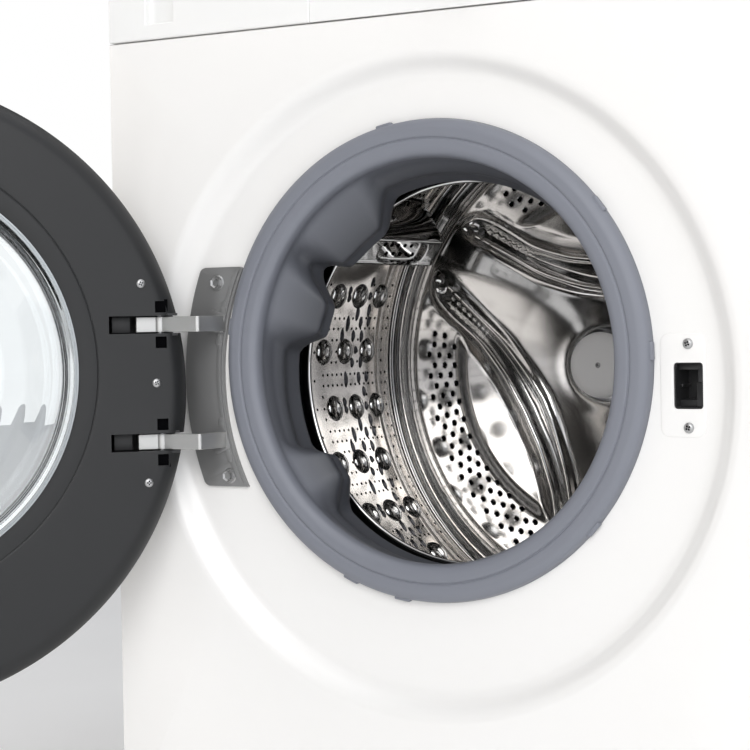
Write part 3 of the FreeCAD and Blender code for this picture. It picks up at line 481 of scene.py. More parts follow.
STEEL = (0.64, 0.635, 0.63)
FINISH = {
    "enamel": plain_finish("cabinet_enamel", (0.87, 0.86, 0.845), 0.32, 700.0, 0.000012, 0.03, 0.012,
                           Coat_Weight=0.35, Coat_Roughness=0.12),
    "white_moulding": plain_finish("white_moulding", (0.86, 0.86, 0.85), 0.34, 1500.0, 0.00001, 0.03, 0.015,
                                   Coat_Weight=0.2),
    "zinc": plain_finish("zinc_sheet", (0.55, 0.57, 0.59), 0.42, 130.0, 0.00001, 0.1, 0.25, Metallic=1.0),
    "filled_grey": plain_finish("grey_moulding", (0.5, 0.51, 0.52), 0.55, 1200.0, 0.00003),
    "matt_black": plain_finish("matt_black_moulding", (0.012, 0.012, 0.013), 0.42, 1800.0, 0.00003),
    "lock_black": plain_finish("lock_black_moulding", (0.02, 0.02, 0.021), 0.3, 1500.0, 0.00002),
    "display": plain_finish("display_black", (0.006, 0.006, 0.008), 0.08, 300.0, 0.000002, 0.02,
                            Coat_Weight=1.0),
    "board": plain_finish("board_green", (0.01, 0.12, 0.04), 0.35),
    "hose": plain_finish("hose_rubber", (0.03, 0.03, 0.032), 0.6, 700.0, 0.00006),
    "seal": seal_painted_shade_finish("seal_rubber", (0.2, 0.21, 0.243), 0.5),
    "hinge_coat": plain_finish("hinge_coat", (0.3, 0.3, 0.3), 0.36, 1800.0, 0.00002, 0.04, 0.08,
                               Metallic=0.55),
    "arm": brushed_finish("brushed_arm", (0.62, 0.62, 0.61), 0.42, (60, 60, 3500)),
    "screw": plain_finish("zinc_screw", (0.5, 0.5, 0.5), 0.34, 2500.0, 0.00003, 0.08, 0.2, Metallic=1.0),
    "cast_iron": plain_finish("cast_iron", (0.13, 0.13, 0.13), 0.7, 500.0, 0.0003),
    "winding": brushed_finish("copper_winding", (0.5, 0.2, 0.08), 0.4, (900, 90, 900)),
    "ground_steel": brushed_finish("ground_steel", (0.7, 0.7, 0.71), 0.22, (300, 300, 300)),
    "cast_aluminium": plain_finish("cast_aluminium", (0.55, 0.56, 0.57), 0.5, 600.0, 0.0001, 0.08, 0.2,
                                   Metallic=1.0),
    "drum_sheet": turned_finish("drum_sheet", (0.9, 0.86, 0.82), 0.17, 900.0, 0.000004),
    "drum_polish": turned_finish("drum_polish", STEEL, 0.05, 400.0, 0.000001),
    "drum_turned": turned_finish("drum_turned", STEEL, 0.12, 2600.0, 0.000004),
    # painted reflection: the drops' near black stands for the dark they mirror, not the steel's own colour
    "drops_painted_dark_reflection": turned_finish("drops_painted_dark_reflection", (0.09, 0.09, 0.1), 0.2, 900.0, 0.00001),
    # painted shade: the grey tub front is coloured near black for the shade inside the machine
    "tub_shadow": plain_finish("tub_moulding_painted_shade", (0.03, 0.031, 0.033), 0.5, 1200.0, 0.00003),
    # painted shadow: flat black with no shine, put in screw recesses, drum holes, the drum seam and the door
    # windows
    "painted_shadow_black": plain_finish("hole_shadow", (0.003, 0.003, 0.0035), 0.9, Specular_IOR_Level=0.0),
    "hub": plain_finish("hub_moulding", (0.93, 0.92, 0.92), 0.4, 1500.0, 0.00002),
    "charcoal": plain_finish("charcoal_moulding", (0.011, 0.0115, 0.0125), 0.5, 2600.0, 0.00003, 0.03, 0.1),
    "gloss_black": plain_finish("gloss_black", (0.005, 0.005, 0.006), 0.07, 500.0, 0.000002, 0.02,
                                Coat_Weight=1.0),
    "outer_glass": glass_finish("outer_glass", (0.93, 0.95, 0.96)),
    "bowl_glass": glass_finish("bowl_glass", (0.965, 0.985, 0.99)),
    "trim_ring": plain_finish("trim_ring", (0.5, 0.53, 0.55), 0.25, 900.0, 0.00001),
    "spun_silver": plain_finish("spun_silver", (0.6, 0.6, 0.61), 0.3, 900.0, 0.00001, 0.02, 0.03,
                                Metallic=1.0),
    "foot": plain_finish("foot_rubber", (0.02, 0.02, 0.02), 0.65, 900.0, 0.00008),
    "floor": plain_finish("pale_floor", (0.98, 0.98, 0.98), 0.6, 60.0, 0.00002, 0.03, 0.02),
}


# ---------------------------------------------------------------- camera, light and floor

def camera():
    lens = bpy.data.cameras.new("camera")
    lens.lens = 99.46
    lens.sensor_width = 36.0
    lens.clip_end = 60.0
    eye = bpy.data.objects.new("camera", lens)
    yaw, pitch, roll = (math.radians(a) for a in (31.21, 1.461, -1.022))
    back = Vector((math.sin(yaw) * math.cos(pitch), -math.cos(yaw) * math.cos(pitch), math.sin(pitch)))
    right = Vector((math.cos(yaw), math.sin(yaw), 0))
    up = back.cross(right)
    look = Matrix((right, up, back)).transposed() @ Matrix.Rotation(roll, 3, "Z")
    place = Vector((0.7990, FRONT * MM - 1.3883, OPEN_Z * MM + 0.0312))
    eye.matrix_world = Matrix.Translation(place) @ look.to_4x4()
    bpy.context.scene.collection.objects.link(eye)
    bpy.context.scene.camera = eye


def area(name, place, target, width, height, power, colour=(1, 1, 1)):
    data = bpy.data.lights.new(name, "AREA")
    data.shape = "RECTANGLE"
    data.size = width
    data.size_y = height
    data.energy = power
    data.color = colour
    lamp = bpy.data.objects.new(name, data)
    lamp.location = place
    lamp.rotation_euler = (Vector(target) - Vector(place)).to_track_quat("-Z", "Y").to_euler()
    bpy.context.scene.collection.objects.link(lamp)


SKY_ACROSS = ((0.0, (0.72, 0.68, 0.63)), (0.14, (0.5, 0.47, 0.44)), (0.2, (0.06, 0.057, 0.055)),
              (0.34, (0.05, 0.05, 0.052)), (0.42, (0.5, 0.49, 0.48)), (0.55, (0.95, 0.96, 0.97)),
              (0.75, (0.95, 0.98, 1.05)), (1.0, (0.6, 0.62, 0.65)))
SKY_HEIGHT = ((0.2, (0.5, 0.48, 0.46)), (0.45, (0.74, 0.73, 0.72)), (0.6, (0.9, 0.9, 0.9)))


def sky_ramp(tree, source, stops):
    """Colours spread over a direction's part from -1 to 1."""
    reach = tree.nodes.new("ShaderNodeMapRange")
    reach.inputs["From Min"].default_value = -1.0
    ramp = tree.nodes.new("ShaderNodeValToRGB")
    steps = ramp.color_ramp.elements
    for number, (position, colour) in enumerate(stops):
        step = steps[number] if number < 2 else steps.new(position)
        step.position = position
        step.color = (*colour, 1)
    tree.links.new(source, reach.inputs["Value"])
    tree.links.new(reach.outputs["Result"], ramp.inputs["Fac"])
    return ramp.outputs["Color"]


def studio():
    scene = bpy.context.scene
    scene.view_settings.view_transform = "Standard"
    world = bpy.data.worlds.new("studio")
    world.use_nodes = True
    scene.world = world
    tree = world.node_tree
    room = tree.nodes["Background"]
    room.inputs["Strength"].default_value = 1.0
    where = tree.nodes.new("ShaderNodeTexCoord")
    split = tree.nodes.new("ShaderNodeSeparateXYZ")
    tree.links.new(where.outputs["Generated"], split.inputs[0])
    across = sky_ramp(tree, split.outputs["X"], SKY_ACROSS)
    height = sky_ramp(tree, split.outputs["Z"], SKY_HEIGHT)
    both = tree.nodes.new("ShaderNodeMix")
    both.data_type = "RGBA"
    both.blend_type = "MULTIPLY"
    both.inputs["Factor"].default_value = 1.0
    tree.links.new(across, both.inputs["A"])
    tree.links.new(height, both.inputs["B"])
    path = tree.nodes.new("ShaderNodeLightPath")
    mix = tree.nodes.new("ShaderNodeMix")
    mix.data_type = "RGBA"
    mix.inputs["B"].default_value = (1, 1, 1, 1)
    clear = tree.nodes.new("ShaderNodeMath")
    clear.operation = "MAXIMUM"
    tree.links.new(path.outputs["Is Camera Ray"], clear.inputs[0])
    tree.links.new(path.outputs["Is Transmission Ray"], clear.inputs[1])
    tree.links.new(clear.outputs[0], mix.inputs["Factor"])
    tree.links.new(both.outputs["Result"], mix.inputs["A"])
    tree.links.new(mix.outputs["Result"], room.inputs["Color"])
    aim = (0, FRONT * MM, 0.45)
    area("front_softbox", (0.9, -2.6, 1.7), aim, 2.2, 1.8, 36, (1.0, 0.99, 0.97))
    area("side_softbox", (2.3, -1.7, 0.9), aim, 1.0, 1.6, 8, (0.95, 0.97, 1.0))
    area("left_softbox", (-2.4, -1.3, 1.0), aim, 1.0, 1.6, 10, (1.0, 0.97, 0.93))
    area("top_softbox", (0, -0.3, 2.9), (0, 0, 0.8), 2.4, 2.4, 16)


def floor():
    bm = bmesh.new()
    bmesh.ops.create_circle(bm, cap_ends=True, radius=9000, segments=96)
    piece = mesh_object(bm, "studio_floor")
    piece.data.materials.append(FINISH["floor"])


# ---------------------------------------------------------------- cabinet

def lock_cutter():
    bm = bmesh.new()
    box(bm, LOCK_X - LOCK_HALF_W, LOCK_X + LOCK_HALF_W, 5, 40, DISH_Z - LOCK_HALF_H, DISH_Z + LOCK_HALF_H,
        upright=2.5)
    return bm


def front_panel():
    """The pressed front: flat face, rolled rim of the dish, its floor and the folded edges."""
    bm = bmesh.new()
    wall = rounded([(212, DISH_DEPTH), (FLOOR_R, DISH_DEPTH), (246, 11), (254, 2.6), (DISH_R, 0),
                    (DISH_R + 6, 0)], 5.0, 6)
    lathe(bm, wall, DISH_Z)
    low, high = PANEL_LOW.z, PANEL_HIGH.z
    edge = 3.0
    corners = [(-HALF + edge, low + edge), (HALF - edge, low + edge), (HALF - edge, high - edge),
               (-HALF + edge, high - edge)]
    verts = [bm.verts.new((x, FRONT, z)) for x, z in corners]
    edges = [bm.edges.new((verts[i], verts[(i + 1) % 4])) for i in range(4)]
    bmesh.ops.subdivide_edges(bm, edges=edges, cuts=ROUND // 4 - 1)
    rims = at_radius(bm, 212, DISH_Z)
    outer = at_radius(bm, DISH_R + 6, DISH_Z)
    border = [v for v in bm.verts if v.is_valid and (abs(abs(v.co.x) - HALF + edge) < 0.01
              or abs(v.co.z - low - edge) < 0.01 or abs(v.co.z - high + edge) < 0.01) and v not in outer]
    bridge(bm, outer, border)
    for out, back in ((1.9, 0.6), (1.1, 2.4), (0, 13)):
        rim = loop_edges(border)
        rim = [e for e in rim if len(e.link_faces) == 1]
        made = bmesh.ops.extrude_edge_only(bm, edges=rim)
        border = [v for v in made["geom"] if isinstance(v, bmesh.types.BMVert)]
        reach = max(abs(v.co.x) for v in border)
        top = max(v.co.z for v in border)
        foot = min(v.co.z for v in border)
        for v in border:
            v.co.x += out * round(v.co.x / reach) if abs(v.co.x) > reach - 0.01 else 0
            v.co.z += out if v.co.z > top - 0.01 else -out if v.co.z < foot + 0.01 else 0
            v.co.y += back
    hole = circle(bm, HOLE_R, DISH_DEPTH, OPEN_Z)
    bridge(bm, hole, rims)
    lip = [e for e in loop_edges(hole) if len(e.link_faces) == 1]
    made = bmesh.ops.extrude_edge_only(bm, edges=lip)
    back_rim = [v for v in made["geom"] if isinstance(v, bmesh.types.BMVert)]
    bmesh.ops.translate(bm, verts=back_rim, vec=(0, 6, 0))
    panel = mesh_object(bm, "front_panel_pressed", 40)
    thick = panel.modifiers.new("sheet", "SOLIDIFY")
    thick.thickness = 0.9 * MM
    thick.offset = -1
    settle(panel, 40)
    subtract(panel, lock_cutter())
    flap_low, flap_high = span("filter_flap")
    hatch = bmesh.new()
    box(hatch, flap_low.x - 0.5, flap_high.x + 0.5, -3, 6, flap_low.z - 0.5, flap_high.z + 0.5, upright=2.0)
    subtract(panel, hatch)
    dress(panel, "cabinet", FINISH["enamel"], "cabinet_white", "front_panel")


def lock_emboss():
    """The softly raised field of the pressed front round the door lock."""
    bm = bmesh.new()
    box(bm, 193.3, 228.3, DISH_DEPTH - 0.55, DISH_DEPTH + 0.5, OPEN_Z - 56.4, OPEN_Z + 19.2, bevel=0.5,
        segments=4, upright=7.0)
    pad = mesh_object(bm, "lock_field", 60)
    subtract(pad, lock_cutter())
    dress(pad, "cabinet", FINISH["enamel"], "cabinet_white")


def lock_mouth():
    """The stepped black plastic inside the lock's slot."""
    half_w = LOCK_HALF_W - 0.15
    half_h = LOCK_HALF_H - 0.15
    bm = bmesh.new()
    box(bm, LOCK_X - half_w, LOCK_X + half_w, DISH_DEPTH + 0.6, 40, DISH_Z - half_h, DISH_Z + half_h,
        upright=2.4)
    caps = [f for f in bm.faces if abs(f.normal.y) > 0.9 and f.calc_center_median().y < FRONT + 20]
    bmesh.ops.inset_region(bm, faces=caps, thickness=0.9)
    made = bmesh.ops.extrude_discrete_faces(bm, faces=caps)["faces"]
    bmesh.ops.translate(bm, verts=made[0].verts, vec=(0, 24, 0))
    bmesh.ops.delete(bm, geom=[f for f in caps if f.is_valid and f not in made], context="FACES")
    for x0, x1, d0, z0, z1 in ((4.9, 10.4, 17.2, -16, 2.5), (6.6, 10.4, 15.9, 2.5, 16),
                               (-10.4, 6.6, 20, 11.5, 16), (-10.4, 4.9, 22, -16, -10.5),
                               (-10.4, -8.6, 24, -1.2, 1.2)):
        box(bm, LOCK_X + x0, LOCK_X + x1, d0, 39, DISH_Z + z0, DISH_Z + z1, bevel=0.5)
    dress(mesh_object(bm, "lock_mouth", recalc=False), "cabinet", FINISH["lock_black"], "black_plastic")


def cross_pan_heads(name, places, body, slot, *nodes, radius=4.0, height=2.2, on_door=False):
    """Domed screw heads with a cross recess; places are (x, z, depth), and door screws face the machine."""
    out = 1 if on_door else -1
    bm = bmesh.new()
    tool = bmesh.new()
    for number, (x, z, d) in enumerate(places):
        top = d + out * height
        outline = rounded([(0, top), (radius * 0.62, top), (radius, d + out * height * 0.35), (radius, d)],
                          radius * 0.35, 4)
        start = set(bm.verts)
        lathe(bm, outline + [(0, d)], 0, 32)
        bmesh.ops.translate(bm, verts=[v for v in bm.verts if v not in start], vec=(x, 0, z))
        near, far = sorted((d + out * height * 0.3, top + out))
        for degrees in (25 + 31 * number, 115 + 31 * number):
            before = set(tool.verts)
            box(tool, x - radius * 0.52, x + radius * 0.52, near, far, z - radius * 0.15, z + radius * 0.15)
            turn(tool, -degrees, [v for v in tool.verts if v not in before], (x, 0, z))
    if on_door:
        swing(bm)
        swing(tool)
    heads = mesh_object(bm, name)
    heads.data.materials.append(FINISH["screw"])
    cross = mesh_object(tool, "cross_cutter")
    # the cross recess takes the cutter's black as painted shadow
    cross.data.materials.append(FINISH["painted_shadow_black"])
    cut = heads.modifiers.new("cross", "BOOLEAN")
    cut.operation = "DIFFERENCE"
    cut.solver = "MANIFOLD"
    cut.material_mode = "TRANSFER"
    cut.object = cross
    settle(heads)
    bpy.data.objects.remove(cross)
    return dress(heads, body, None, slot, *nodes)


def lock_screws():
    places = [(LOCK_X, DISH_Z + side * LOCK_SCREW, DISH_DEPTH - 0.5) for side in (1, -1)]
    cross_pan_heads("lock_screws", places, "cabinet", "screw_steel")


# ---------------------------------------------------------------- hinge on the cabinet

PLATE_Z = OPEN_Z - 11.4
PLATE_R = (195.0, 233.5)
HINGE_SCREWS = ((-199.4, OPEN_Z + 66.0), (-190.7, OPEN_Z - 93.6))


def sector(bm, r0, r1, a0, a1, d0, d1, z, corner=0.0, bevel=0.0, steps=48):
    """Part of a flat ring with rounded corners and edges; angles are degrees anticlockwise from the right."""
    first = set(bm.verts)
    corners = [(r0, d0), (r1, d0), (r1, d1), (r0, d1)]
    verts = [bm.verts.new((r, FRONT + d, z)) for r, d in corners]
    bmesh.ops.rotate(bm, verts=verts, cent=(0, 0, z), matrix=Matrix.Rotation(math.radians(-a0), 3, "Y"))
    face = bm.faces.new(verts)
    bmesh.ops.spin(bm, geom=[face], cent=(0, FRONT, z), axis=(0, -1, 0), angle=math.radians(a1 - a0),
                   steps=steps)
    made = [v for v in bm.verts if v not in first]
    bmesh.ops.remove_doubles(bm, verts=made, dist=0.001)
    made = [v for v in bm.verts if v not in first]
    inner = {f for v in made for f in v.link_faces}
    bmesh.ops.recalc_face_normals(bm, faces=list(inner))
    if corner:
        edges = {e for v in made for e in v.link_edges}
        round_edges(bm, [e for e in edges if runs_back(e) and e.calc_face_angle(0) > 1.0], corner, 6)
    if bevel:
        made = [v for v in bm.verts if v not in first]
        edges = {e for v in made for e in v.link_edges}
        top = [e for e in edges if e.calc_face_angle(0) > 1.0
               and max(v.co.y for v in e.verts) < FRONT + min(d0, d1) + 0.01]
        round_edges(bm, top, bevel, 3, clamp=True)


def level_ends(bm, top, foot, corner, bevel):
    """Cuts a curved plate off level at its top and foot, then rounds its corners and front edges."""
    for z, up in ((top, 1), (foot, -1)):
        cut = bmesh.ops.bisect_plane(bm, geom=bm.verts[:] + bm.edges[:] + bm.faces[:], plane_co=(0, 0, z),
                                     plane_no=(0, 0, up), clear_outer=True)
        bmesh.ops.edgeloop_fill(bm, edges=[e for e in cut["geom_cut"] if isinstance(e, bmesh.types.BMEdge)])
    bmesh.ops.recalc_face_normals(bm, faces=bm.faces)
    round_edges(bm, [e for e in bm.edges if runs_back(e) and e.calc_face_angle(0) > 0.6], corner, 6)
    front = min(v.co.y for v in bm.verts) + 0.01
    edge = [e for e in bm.edges if e.calc_face_angle(0) > 1.0 and max(v.co.y for v in e.verts) < front]
    round_edges(bm, edge, bevel, 3, clamp=True)


def hinge_plate():
    """The curved plate with its stepped edge and the swellings that the arms grow from."""
    seat = DISH_DEPTH
    top, foot = PLATE_Z + 90.1, PLATE_Z - 90.9
    bm = bmesh.new()
    sector(bm, PLATE_R[0], PLATE_R[1], 145, 215, seat - 3, seat, PLATE_Z)
    level_ends(bm, top, foot, 5.0, 1.0)
    rib = bmesh.new()
    sector(rib, PLATE_R[0] + 2.2, PLATE_R[0] + 6.2, 145, 215, seat - 4.4, seat - 2.5, PLATE_Z)
    level_ends(rib, top - 2.6, foot + 2.6, 1.4, 0.8)
    repeat(bm, rib, [Matrix()])
    for z in ARM_Z:
        mid = 180 - math.degrees(math.asin((z - PLATE_Z) / 200))
        half = math.degrees(8.6 / 200)
        sector(bm, 197, 214, mid - half, mid + half, seat - 5.6, seat - 2.6, PLATE_Z, 3.5, 2.4, 12)
        wide = half * 2.2
        sector(bm, 198.4, 203.5, mid - wide, mid + wide, seat - 5.0, seat - 2.6, PLATE_Z, 2.4, 2.0, 16)
    plate = mesh_object(bm, "hinge_plate_cast", 40, recalc=False)
    dress(plate, "cabinet", FINISH["hinge_coat"], "hinge_grey", "hinge_plate")


def hinge_arms():
    softened("hinge_arms", 0.55, FINISH["arm"], "cabinet", "brushed_arm")


def hinge_bolts():
    """Flanged hexagon heads with a dished top."""
    bm = bmesh.new()
    for x, z in HINGE_SCREWS:
        seat = FRONT + DISH_DEPTH - 3
        rod(bm, 6.4, (x, seat, z), (x, seat - 1.1, z), 40, 5.6)
        place = Matrix.Translation((x, seat - 2.8, z)) @ Matrix.Rotation(math.pi / 2, 4, "X")
        bmesh.ops.create_cone(bm, cap_ends=True, segments=6, radius1=4.6, radius2=4.4, depth=3.6,
                              matrix=place)
        crown = Vector((x, seat - 4.6, z))
        top = [f for f in bm.faces if (f.calc_center_median() - crown).length < 0.2]
        bmesh.ops.inset_region(bm, faces=top, thickness=1.3)
        bmesh.ops.translate(bm, verts=top[0].verts, vec=(0, 1.4, 0))
    dress(mesh_object(bm, "hinge_bolts", 30), "cabinet", FINISH["screw"], "screw_steel", "front_panel_screws")


# ---------------------------------------------------------------- gasket

LOBES = ((112.0, 144.0, 27.0), (147.5, 172.0, 31.0), (204.0, 226.0, 24.0))
TABS = (2.0, 38.0, 101.0, 171.0, 247.0, 262.0, 318.0)


def smooth(value, start, end):
    t = min(1.0, max(0.0, (value - start) / (end - start)))
    return t * t * (3 - 2 * t)


def lobe(angle, d):
    """How far the seal's folds stand in from its wall at an angle in degrees and a depth."""
    rise = 0.0
    for start, end, height in LOBES:
        middle = 1 - 0.12 * smooth(abs(2 * (angle - start) / (end - start) - 1), 0.2, 1.0)
        sides = smooth(angle, start - 2, start + 7) * (1 - smooth(angle, end - 7, end + 2))
        rise = max(rise, height * middle * sides)
    return rise * smooth(d, 16, 44) * (1 - 0.5 * smooth(d, 56, 66))


def gasket():
    """The door seal: a rolled rim with a groove, folds that stand inwards and a lip over the tub's neck."""
    rim = rounded([(188.6, DISH_DEPTH), (187.2, 6.4), (182, 3.0), (173.9, 3.0), (173.3, 4.3), (172.5, 4.3),
                   (171.8, 3.1), (164, 3.4), (159.6, 6.2), (158, 12.5)], 2.4, 4)
    wall = rounded([(158, 12.5), (160.5, 20), (161, 34), (156, 42.5), (158.4, 49), (156, 56)], 3.0, 5)
    lip = rounded([(156, 56), (153.6, 61), (154.4, 63.4), (161, 64), (168.6, 62), (168.6, 56), (178, 40),
                   (178, 22), (186, 18), (188.6, DISH_DEPTH)], 1.2, 3)
    bm = bmesh.new()
    lathe(bm, rim + wall[1:] + lip[1:-1], OPEN_Z, 360, closed=True)
    for v in bm.verts:
        d = v.co.y - FRONT
        across = Vector((v.co.x, v.co.z - OPEN_Z))
        angle = math.degrees(math.atan2(across.y, across.x)) % 360
        reach = across.length
        if reach < 170 and d > 12:
            shrink = (reach - lobe(angle, d)) / reach
            v.co.x *= shrink
            v.co.z = OPEN_Z + across.y * shrink
        v.co.z -= (OPEN_Z - DRUM_Z) * smooth(d, 18, 56)
    for degrees in TABS:
        before = set(bm.verts)
        box(bm, 184.6, 189.6, 8.0, 13.4, OPEN_Z - 7, OPEN_Z + 7, bevel=1.2)
        turn(bm, degrees, [v for v in bm.verts if v not in before], (0, 0, OPEN_Z))
    piece = mesh_object(bm, "door_seal", 50)
    piece.data.materials.append(FINISH["seal"])
    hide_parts("gasket")
    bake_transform(piece)


# ---------------------------------------------------------------- door

DOOR_SCREWS = ((HINGE.x + 17.1, OPEN_Z + 65.9), (HINGE.x + 5.7, OPEN_Z - 15.2),
               (HINGE.x + 13.6, OPEN_Z - 96.4),
               (120.0, DISH_Z + 199.0), (120.0, DISH_Z - 199.0), (LOCK_X - 12, DISH_Z + 60),
               (LOCK_X - 12, DISH_Z - 60))
SLOT_END = -189.5


def door_cutters():
    """The arm slots and the square windows over the pins."""
    bm = bmesh.new()
    for z in ARM_Z:
        box(bm, -DOOR_R - 6, SLOT_END, FACE - 45, FACE + 3, z - 7.2, z + 7.2)
    windows = bmesh.new()
    for z in ARM_Z:
        for side in (-1, 1):
            mid = z + side * 14.5
            box(windows, HINGE.x - 3.4, HINGE.x + 5.8, FACE - 9, FACE + 3, mid - 4.7, mid + 4.7)
    for tool in (bm, windows):
        swing(tool)
    return bm, windows


def door_cover():
    """The satin inner cover: flat face with a fine groove, rounded at its edge."""
    bm = bmesh.new()
    rim = rounded([(236, FACE), (243, FACE - 0.6), (250, FACE - 5.5), (253.9, FACE - 12), (DOOR_R, EDGE),
                   (DOOR_R - 2.5, EDGE)], 6.0, 5)
    lathe(bm, rim, DISH_Z)
    lathe(bm, rounded([(164.6, FACE - 8), (164.6, FACE), (179.4, FACE), (180.2, FACE - 0.7), (181.0, FACE),
                       (186, FACE)], 0.5, 2), GLASS_Z)
    bridge(bm, at_radius(bm, 236, DISH_Z), at_radius(bm, 186, GLASS_Z))
    swing(bm)
    cover = mesh_object(bm, "door_cover", 40)
    slots, windows = door_cutters()
    thick = cover.modifiers.new("wall", "SOLIDIFY")
    thick.thickness = 2.2 * MM
    thick.offset = -1
    settle(cover, 40)
    subtract(cover, slots)
    subtract(cover, windows)
    dress(cover, "door", FINISH["charcoal"], "charcoal_plastic", "door_inner_frame")


def door_rim():
    """The glossy outer band of the door."""
    bm = bmesh.new()
    lathe(bm, rounded([(DOOR_R - 3, EDGE), (DOOR_R, EDGE), (DOOR_R, -35), (246, -52), (224, -60.5),
                       (214, -60)], 3.0, 5), DISH_Z)
    swing(bm)
    rim = mesh_object(bm, "door_band", 40)
    thick = rim.modifiers.new("wall", "SOLIDIFY")
    thick.thickness = 2.6 * MM
    thick.offset = -1
    settle(rim, 40)
    slots, windows = door_cutters()
    windows.free()
    subtract(rim, slots)
    dress(rim, "door", FINISH["gloss_black"], "black_gloss", "door_rim")


def hinge_pockets():
    """Black linings of the arm slots and windows, with the block that each arm's tail lies against."""
    bm = bmesh.new()
    shade = bmesh.new()
    for z in ARM_Z:
        for z0, z1 in ((z - 9.2, z - 7.25), (z + 7.25, z + 9.2)):
            box(bm, -246, SLOT_END + 2, FACE - 36, FACE - 2.3, z0, z1)
        box(bm, SLOT_END, SLOT_END + 2, FACE - 36, FACE - 2.3, z - 7.2, z + 7.2)
        box(bm, -248, SLOT_END + 2, FACE - 38, FACE - 36, z - 9.2, z + 9.2)
        box(bm, SLOT_END - 19.5, SLOT_END - 4.2, FACE - 34, FACE - 14, z - 6.7, z + 6.7, bevel=0.5)
        for side in (-1, 1):
            mid = z + side * 14.5
            box(shade, HINGE.x - 5, HINGE.x + 7.4, FACE - 4.2, FACE - 2.7, mid - 6, mid + 6)
    swing(bm)
    swing(shade)
    dress(mesh_object(shade, "window_shadows"), "door", FINISH["painted_shadow_black"], "black_plastic")
    dress(mesh_object(bm, "hinge_pockets"), "door", FINISH["matt_black"], "black_plastic")


def door_pins():
    bm = bmesh.new()
    for z in ARM_Z:
        rod(bm, 2.95, (HINGE.x, HINGE.y, z - 19), (HINGE.x, HINGE.y, z + 19), 40)
        round_edges(bm, [e for e in bm.edges if e.calc_face_angle(0) > 1.2], 0.5, 2)
    dress(mesh_object(bm, "hinge_pins_ground"), "door", FINISH["ground_steel"], "bearing_steel", "hinge_pins")


def door_screws():
    places = [(x, z, FACE + 0.2) for x, z in DOOR_SCREWS]
    cross_pan_heads("door_screw_heads", places, "door", "screw_steel", "door_screws", radius=3.6, height=1.4,
                    on_door=True)


def door_glass():
    """The pressed bowl, its light trim ring and the outer pane."""
    bm = bmesh.new()
    bowl = [(160.6, -17), (160.6, -11.2), (157.2, -9.4), (153, 8), (136, 24), (118, 36), (100, 42), (0, 45)]
    inside = [(0, 41), (98, 38.2), (115.6, 32.6), (132.6, 21.4), (149, 6.5), (152.6, -11), (152.6, -17)]
    lathe(bm, rounded(bowl + inside, 4.0, 5), GLASS_Z, closed=True)
    swing(bm)
    dress(mesh_object(bm, "glass_bowl_pressed", 50), "door", FINISH["bowl_glass"], "clear_glass",
          "glass_bowl")
    bm = bmesh.new()
    lathe(bm, rounded([(164.4, -14.4), (164.4, -10.3), (162.9, -9.6), (162.5, -10.5), (161.9, -10.5),
                       (161.6, -9.8), (160.8, -9.9), (160.8, -14.4)], 0.25, 2), GLASS_Z, closed=True)
    swing(bm)
    dress(mesh_object(bm, "glass_trim"), "door", FINISH["trim_ring"], "ring_grey", "glass_ring")
    bm = bmesh.new()
    lathe(bm, rounded([(0, -66), (100, -64.6), (180, -60.9), (213.8, -58.4), (213.8, -54.4), (180, -56.9),
                       (100, -60.6), (0, -62)], 1.5, 3), DISH_Z, closed=True)
    swing(bm)
    dress(mesh_object(bm, "outer_pane", 40), "door", FINISH["outer_glass"], "tinted_glass",
          "door_outer_glass")
    bm = bmesh.new()
    lathe(bm, [(213.6, -53.9), (213.6, -53.5), (170, -54.0), (163.5, -18), (163.5, -17), (169, -17),
               (176, -53.0), (213.6, -52.5)], DISH_Z)
    swing(bm)
    dress(mesh_object(bm, "pane_mask", 40), "door", FINISH["gloss_black"], "black_gloss")


# ---------------------------------------------------------------- drum

ARM_DEG = (27.5, 147.5, 267.5)
COLUMN = 12.43
HUB_RIDGE = ((0, 68.5), (25, 71), (68, 82), (104, 98), (132, 110), (150, 118), (158, 124))
RIM_RIDGE = ((0, 94), (40, 96.5), (80, 106), (120, 126), (140, 133), (152, 131.5), (158, 124))
BACK = ((0, 326), (30.6, 326), (34.5, 326.2), (44.4, 328.6), (90.4, 337.8), (150, 348.2), (176.4, 352.6),
        (214, 359), (219, 363), (224, 366.5), (229, 365.4), (234, 363.6), (238, 365.6), (240.5, 371),
        (244.6, 371.4))


def along(points, x):
    """Height of a curve of (x, y) points at x, straight between them."""
    for (xa, ya), (xb, yb) in zip(points, points[1:]):
        if x <= xb:
            return ya + (yb - ya) * (x - xa) / (xb - xa)
    return points[-1][1]


def gap(points, x, y):
    """Distance from a point to a curve of (x, y) points."""
    here = Vector((x, y))
    best = 1e9
    for a, b in zip(points, points[1:]):
        start = Vector(a)
        way = Vector(b) - start
        t = min(1, max(0, (here - start).dot(way) / way.length_squared))
        best = min(best, (start + way * t - here).length)
    return best


def back_depth(r, degrees):
    """Depth of the drum's back shell: a cone with a crescent trough between two ridges in each third."""
    base = along(BACK_CURVE, r)
    if r < 50 or r > 216:
        return base
    offset = (degrees - ARM_DEG[1]) % 120 - 60
    u = r * math.cos(math.radians(offset))
    v = abs(r * math.sin(math.radians(offset)))
    hub_gap = gap(HUB_CURVE, v, u)
    rim_gap = gap(RIM_CURVE, v, u)
    lift = 6.5 * math.exp(-(hub_gap / 5.2) ** 2) + 5.5 * math.exp(-(rim_gap / 5.0) ** 2)
    if v < 158 and along(HUB_CURVE, v) < u < along(RIM_CURVE, v):
        base += 6.0 * smooth(min(hub_gap, rim_gap), 2, 9)
    elif u > along(RIM_CURVE, v):
        base += 3.5 * smooth(rim_gap, 6, 20) * (1 - smooth(r, 150, 166))
    return base - lift


BACK_CURVE = rounded(BACK, 4.0, 4)
HUB_CURVE = rounded(HUB_RIDGE, 14, 4)
RIM_CURVE = rounded(RIM_RIDGE, 12, 4)


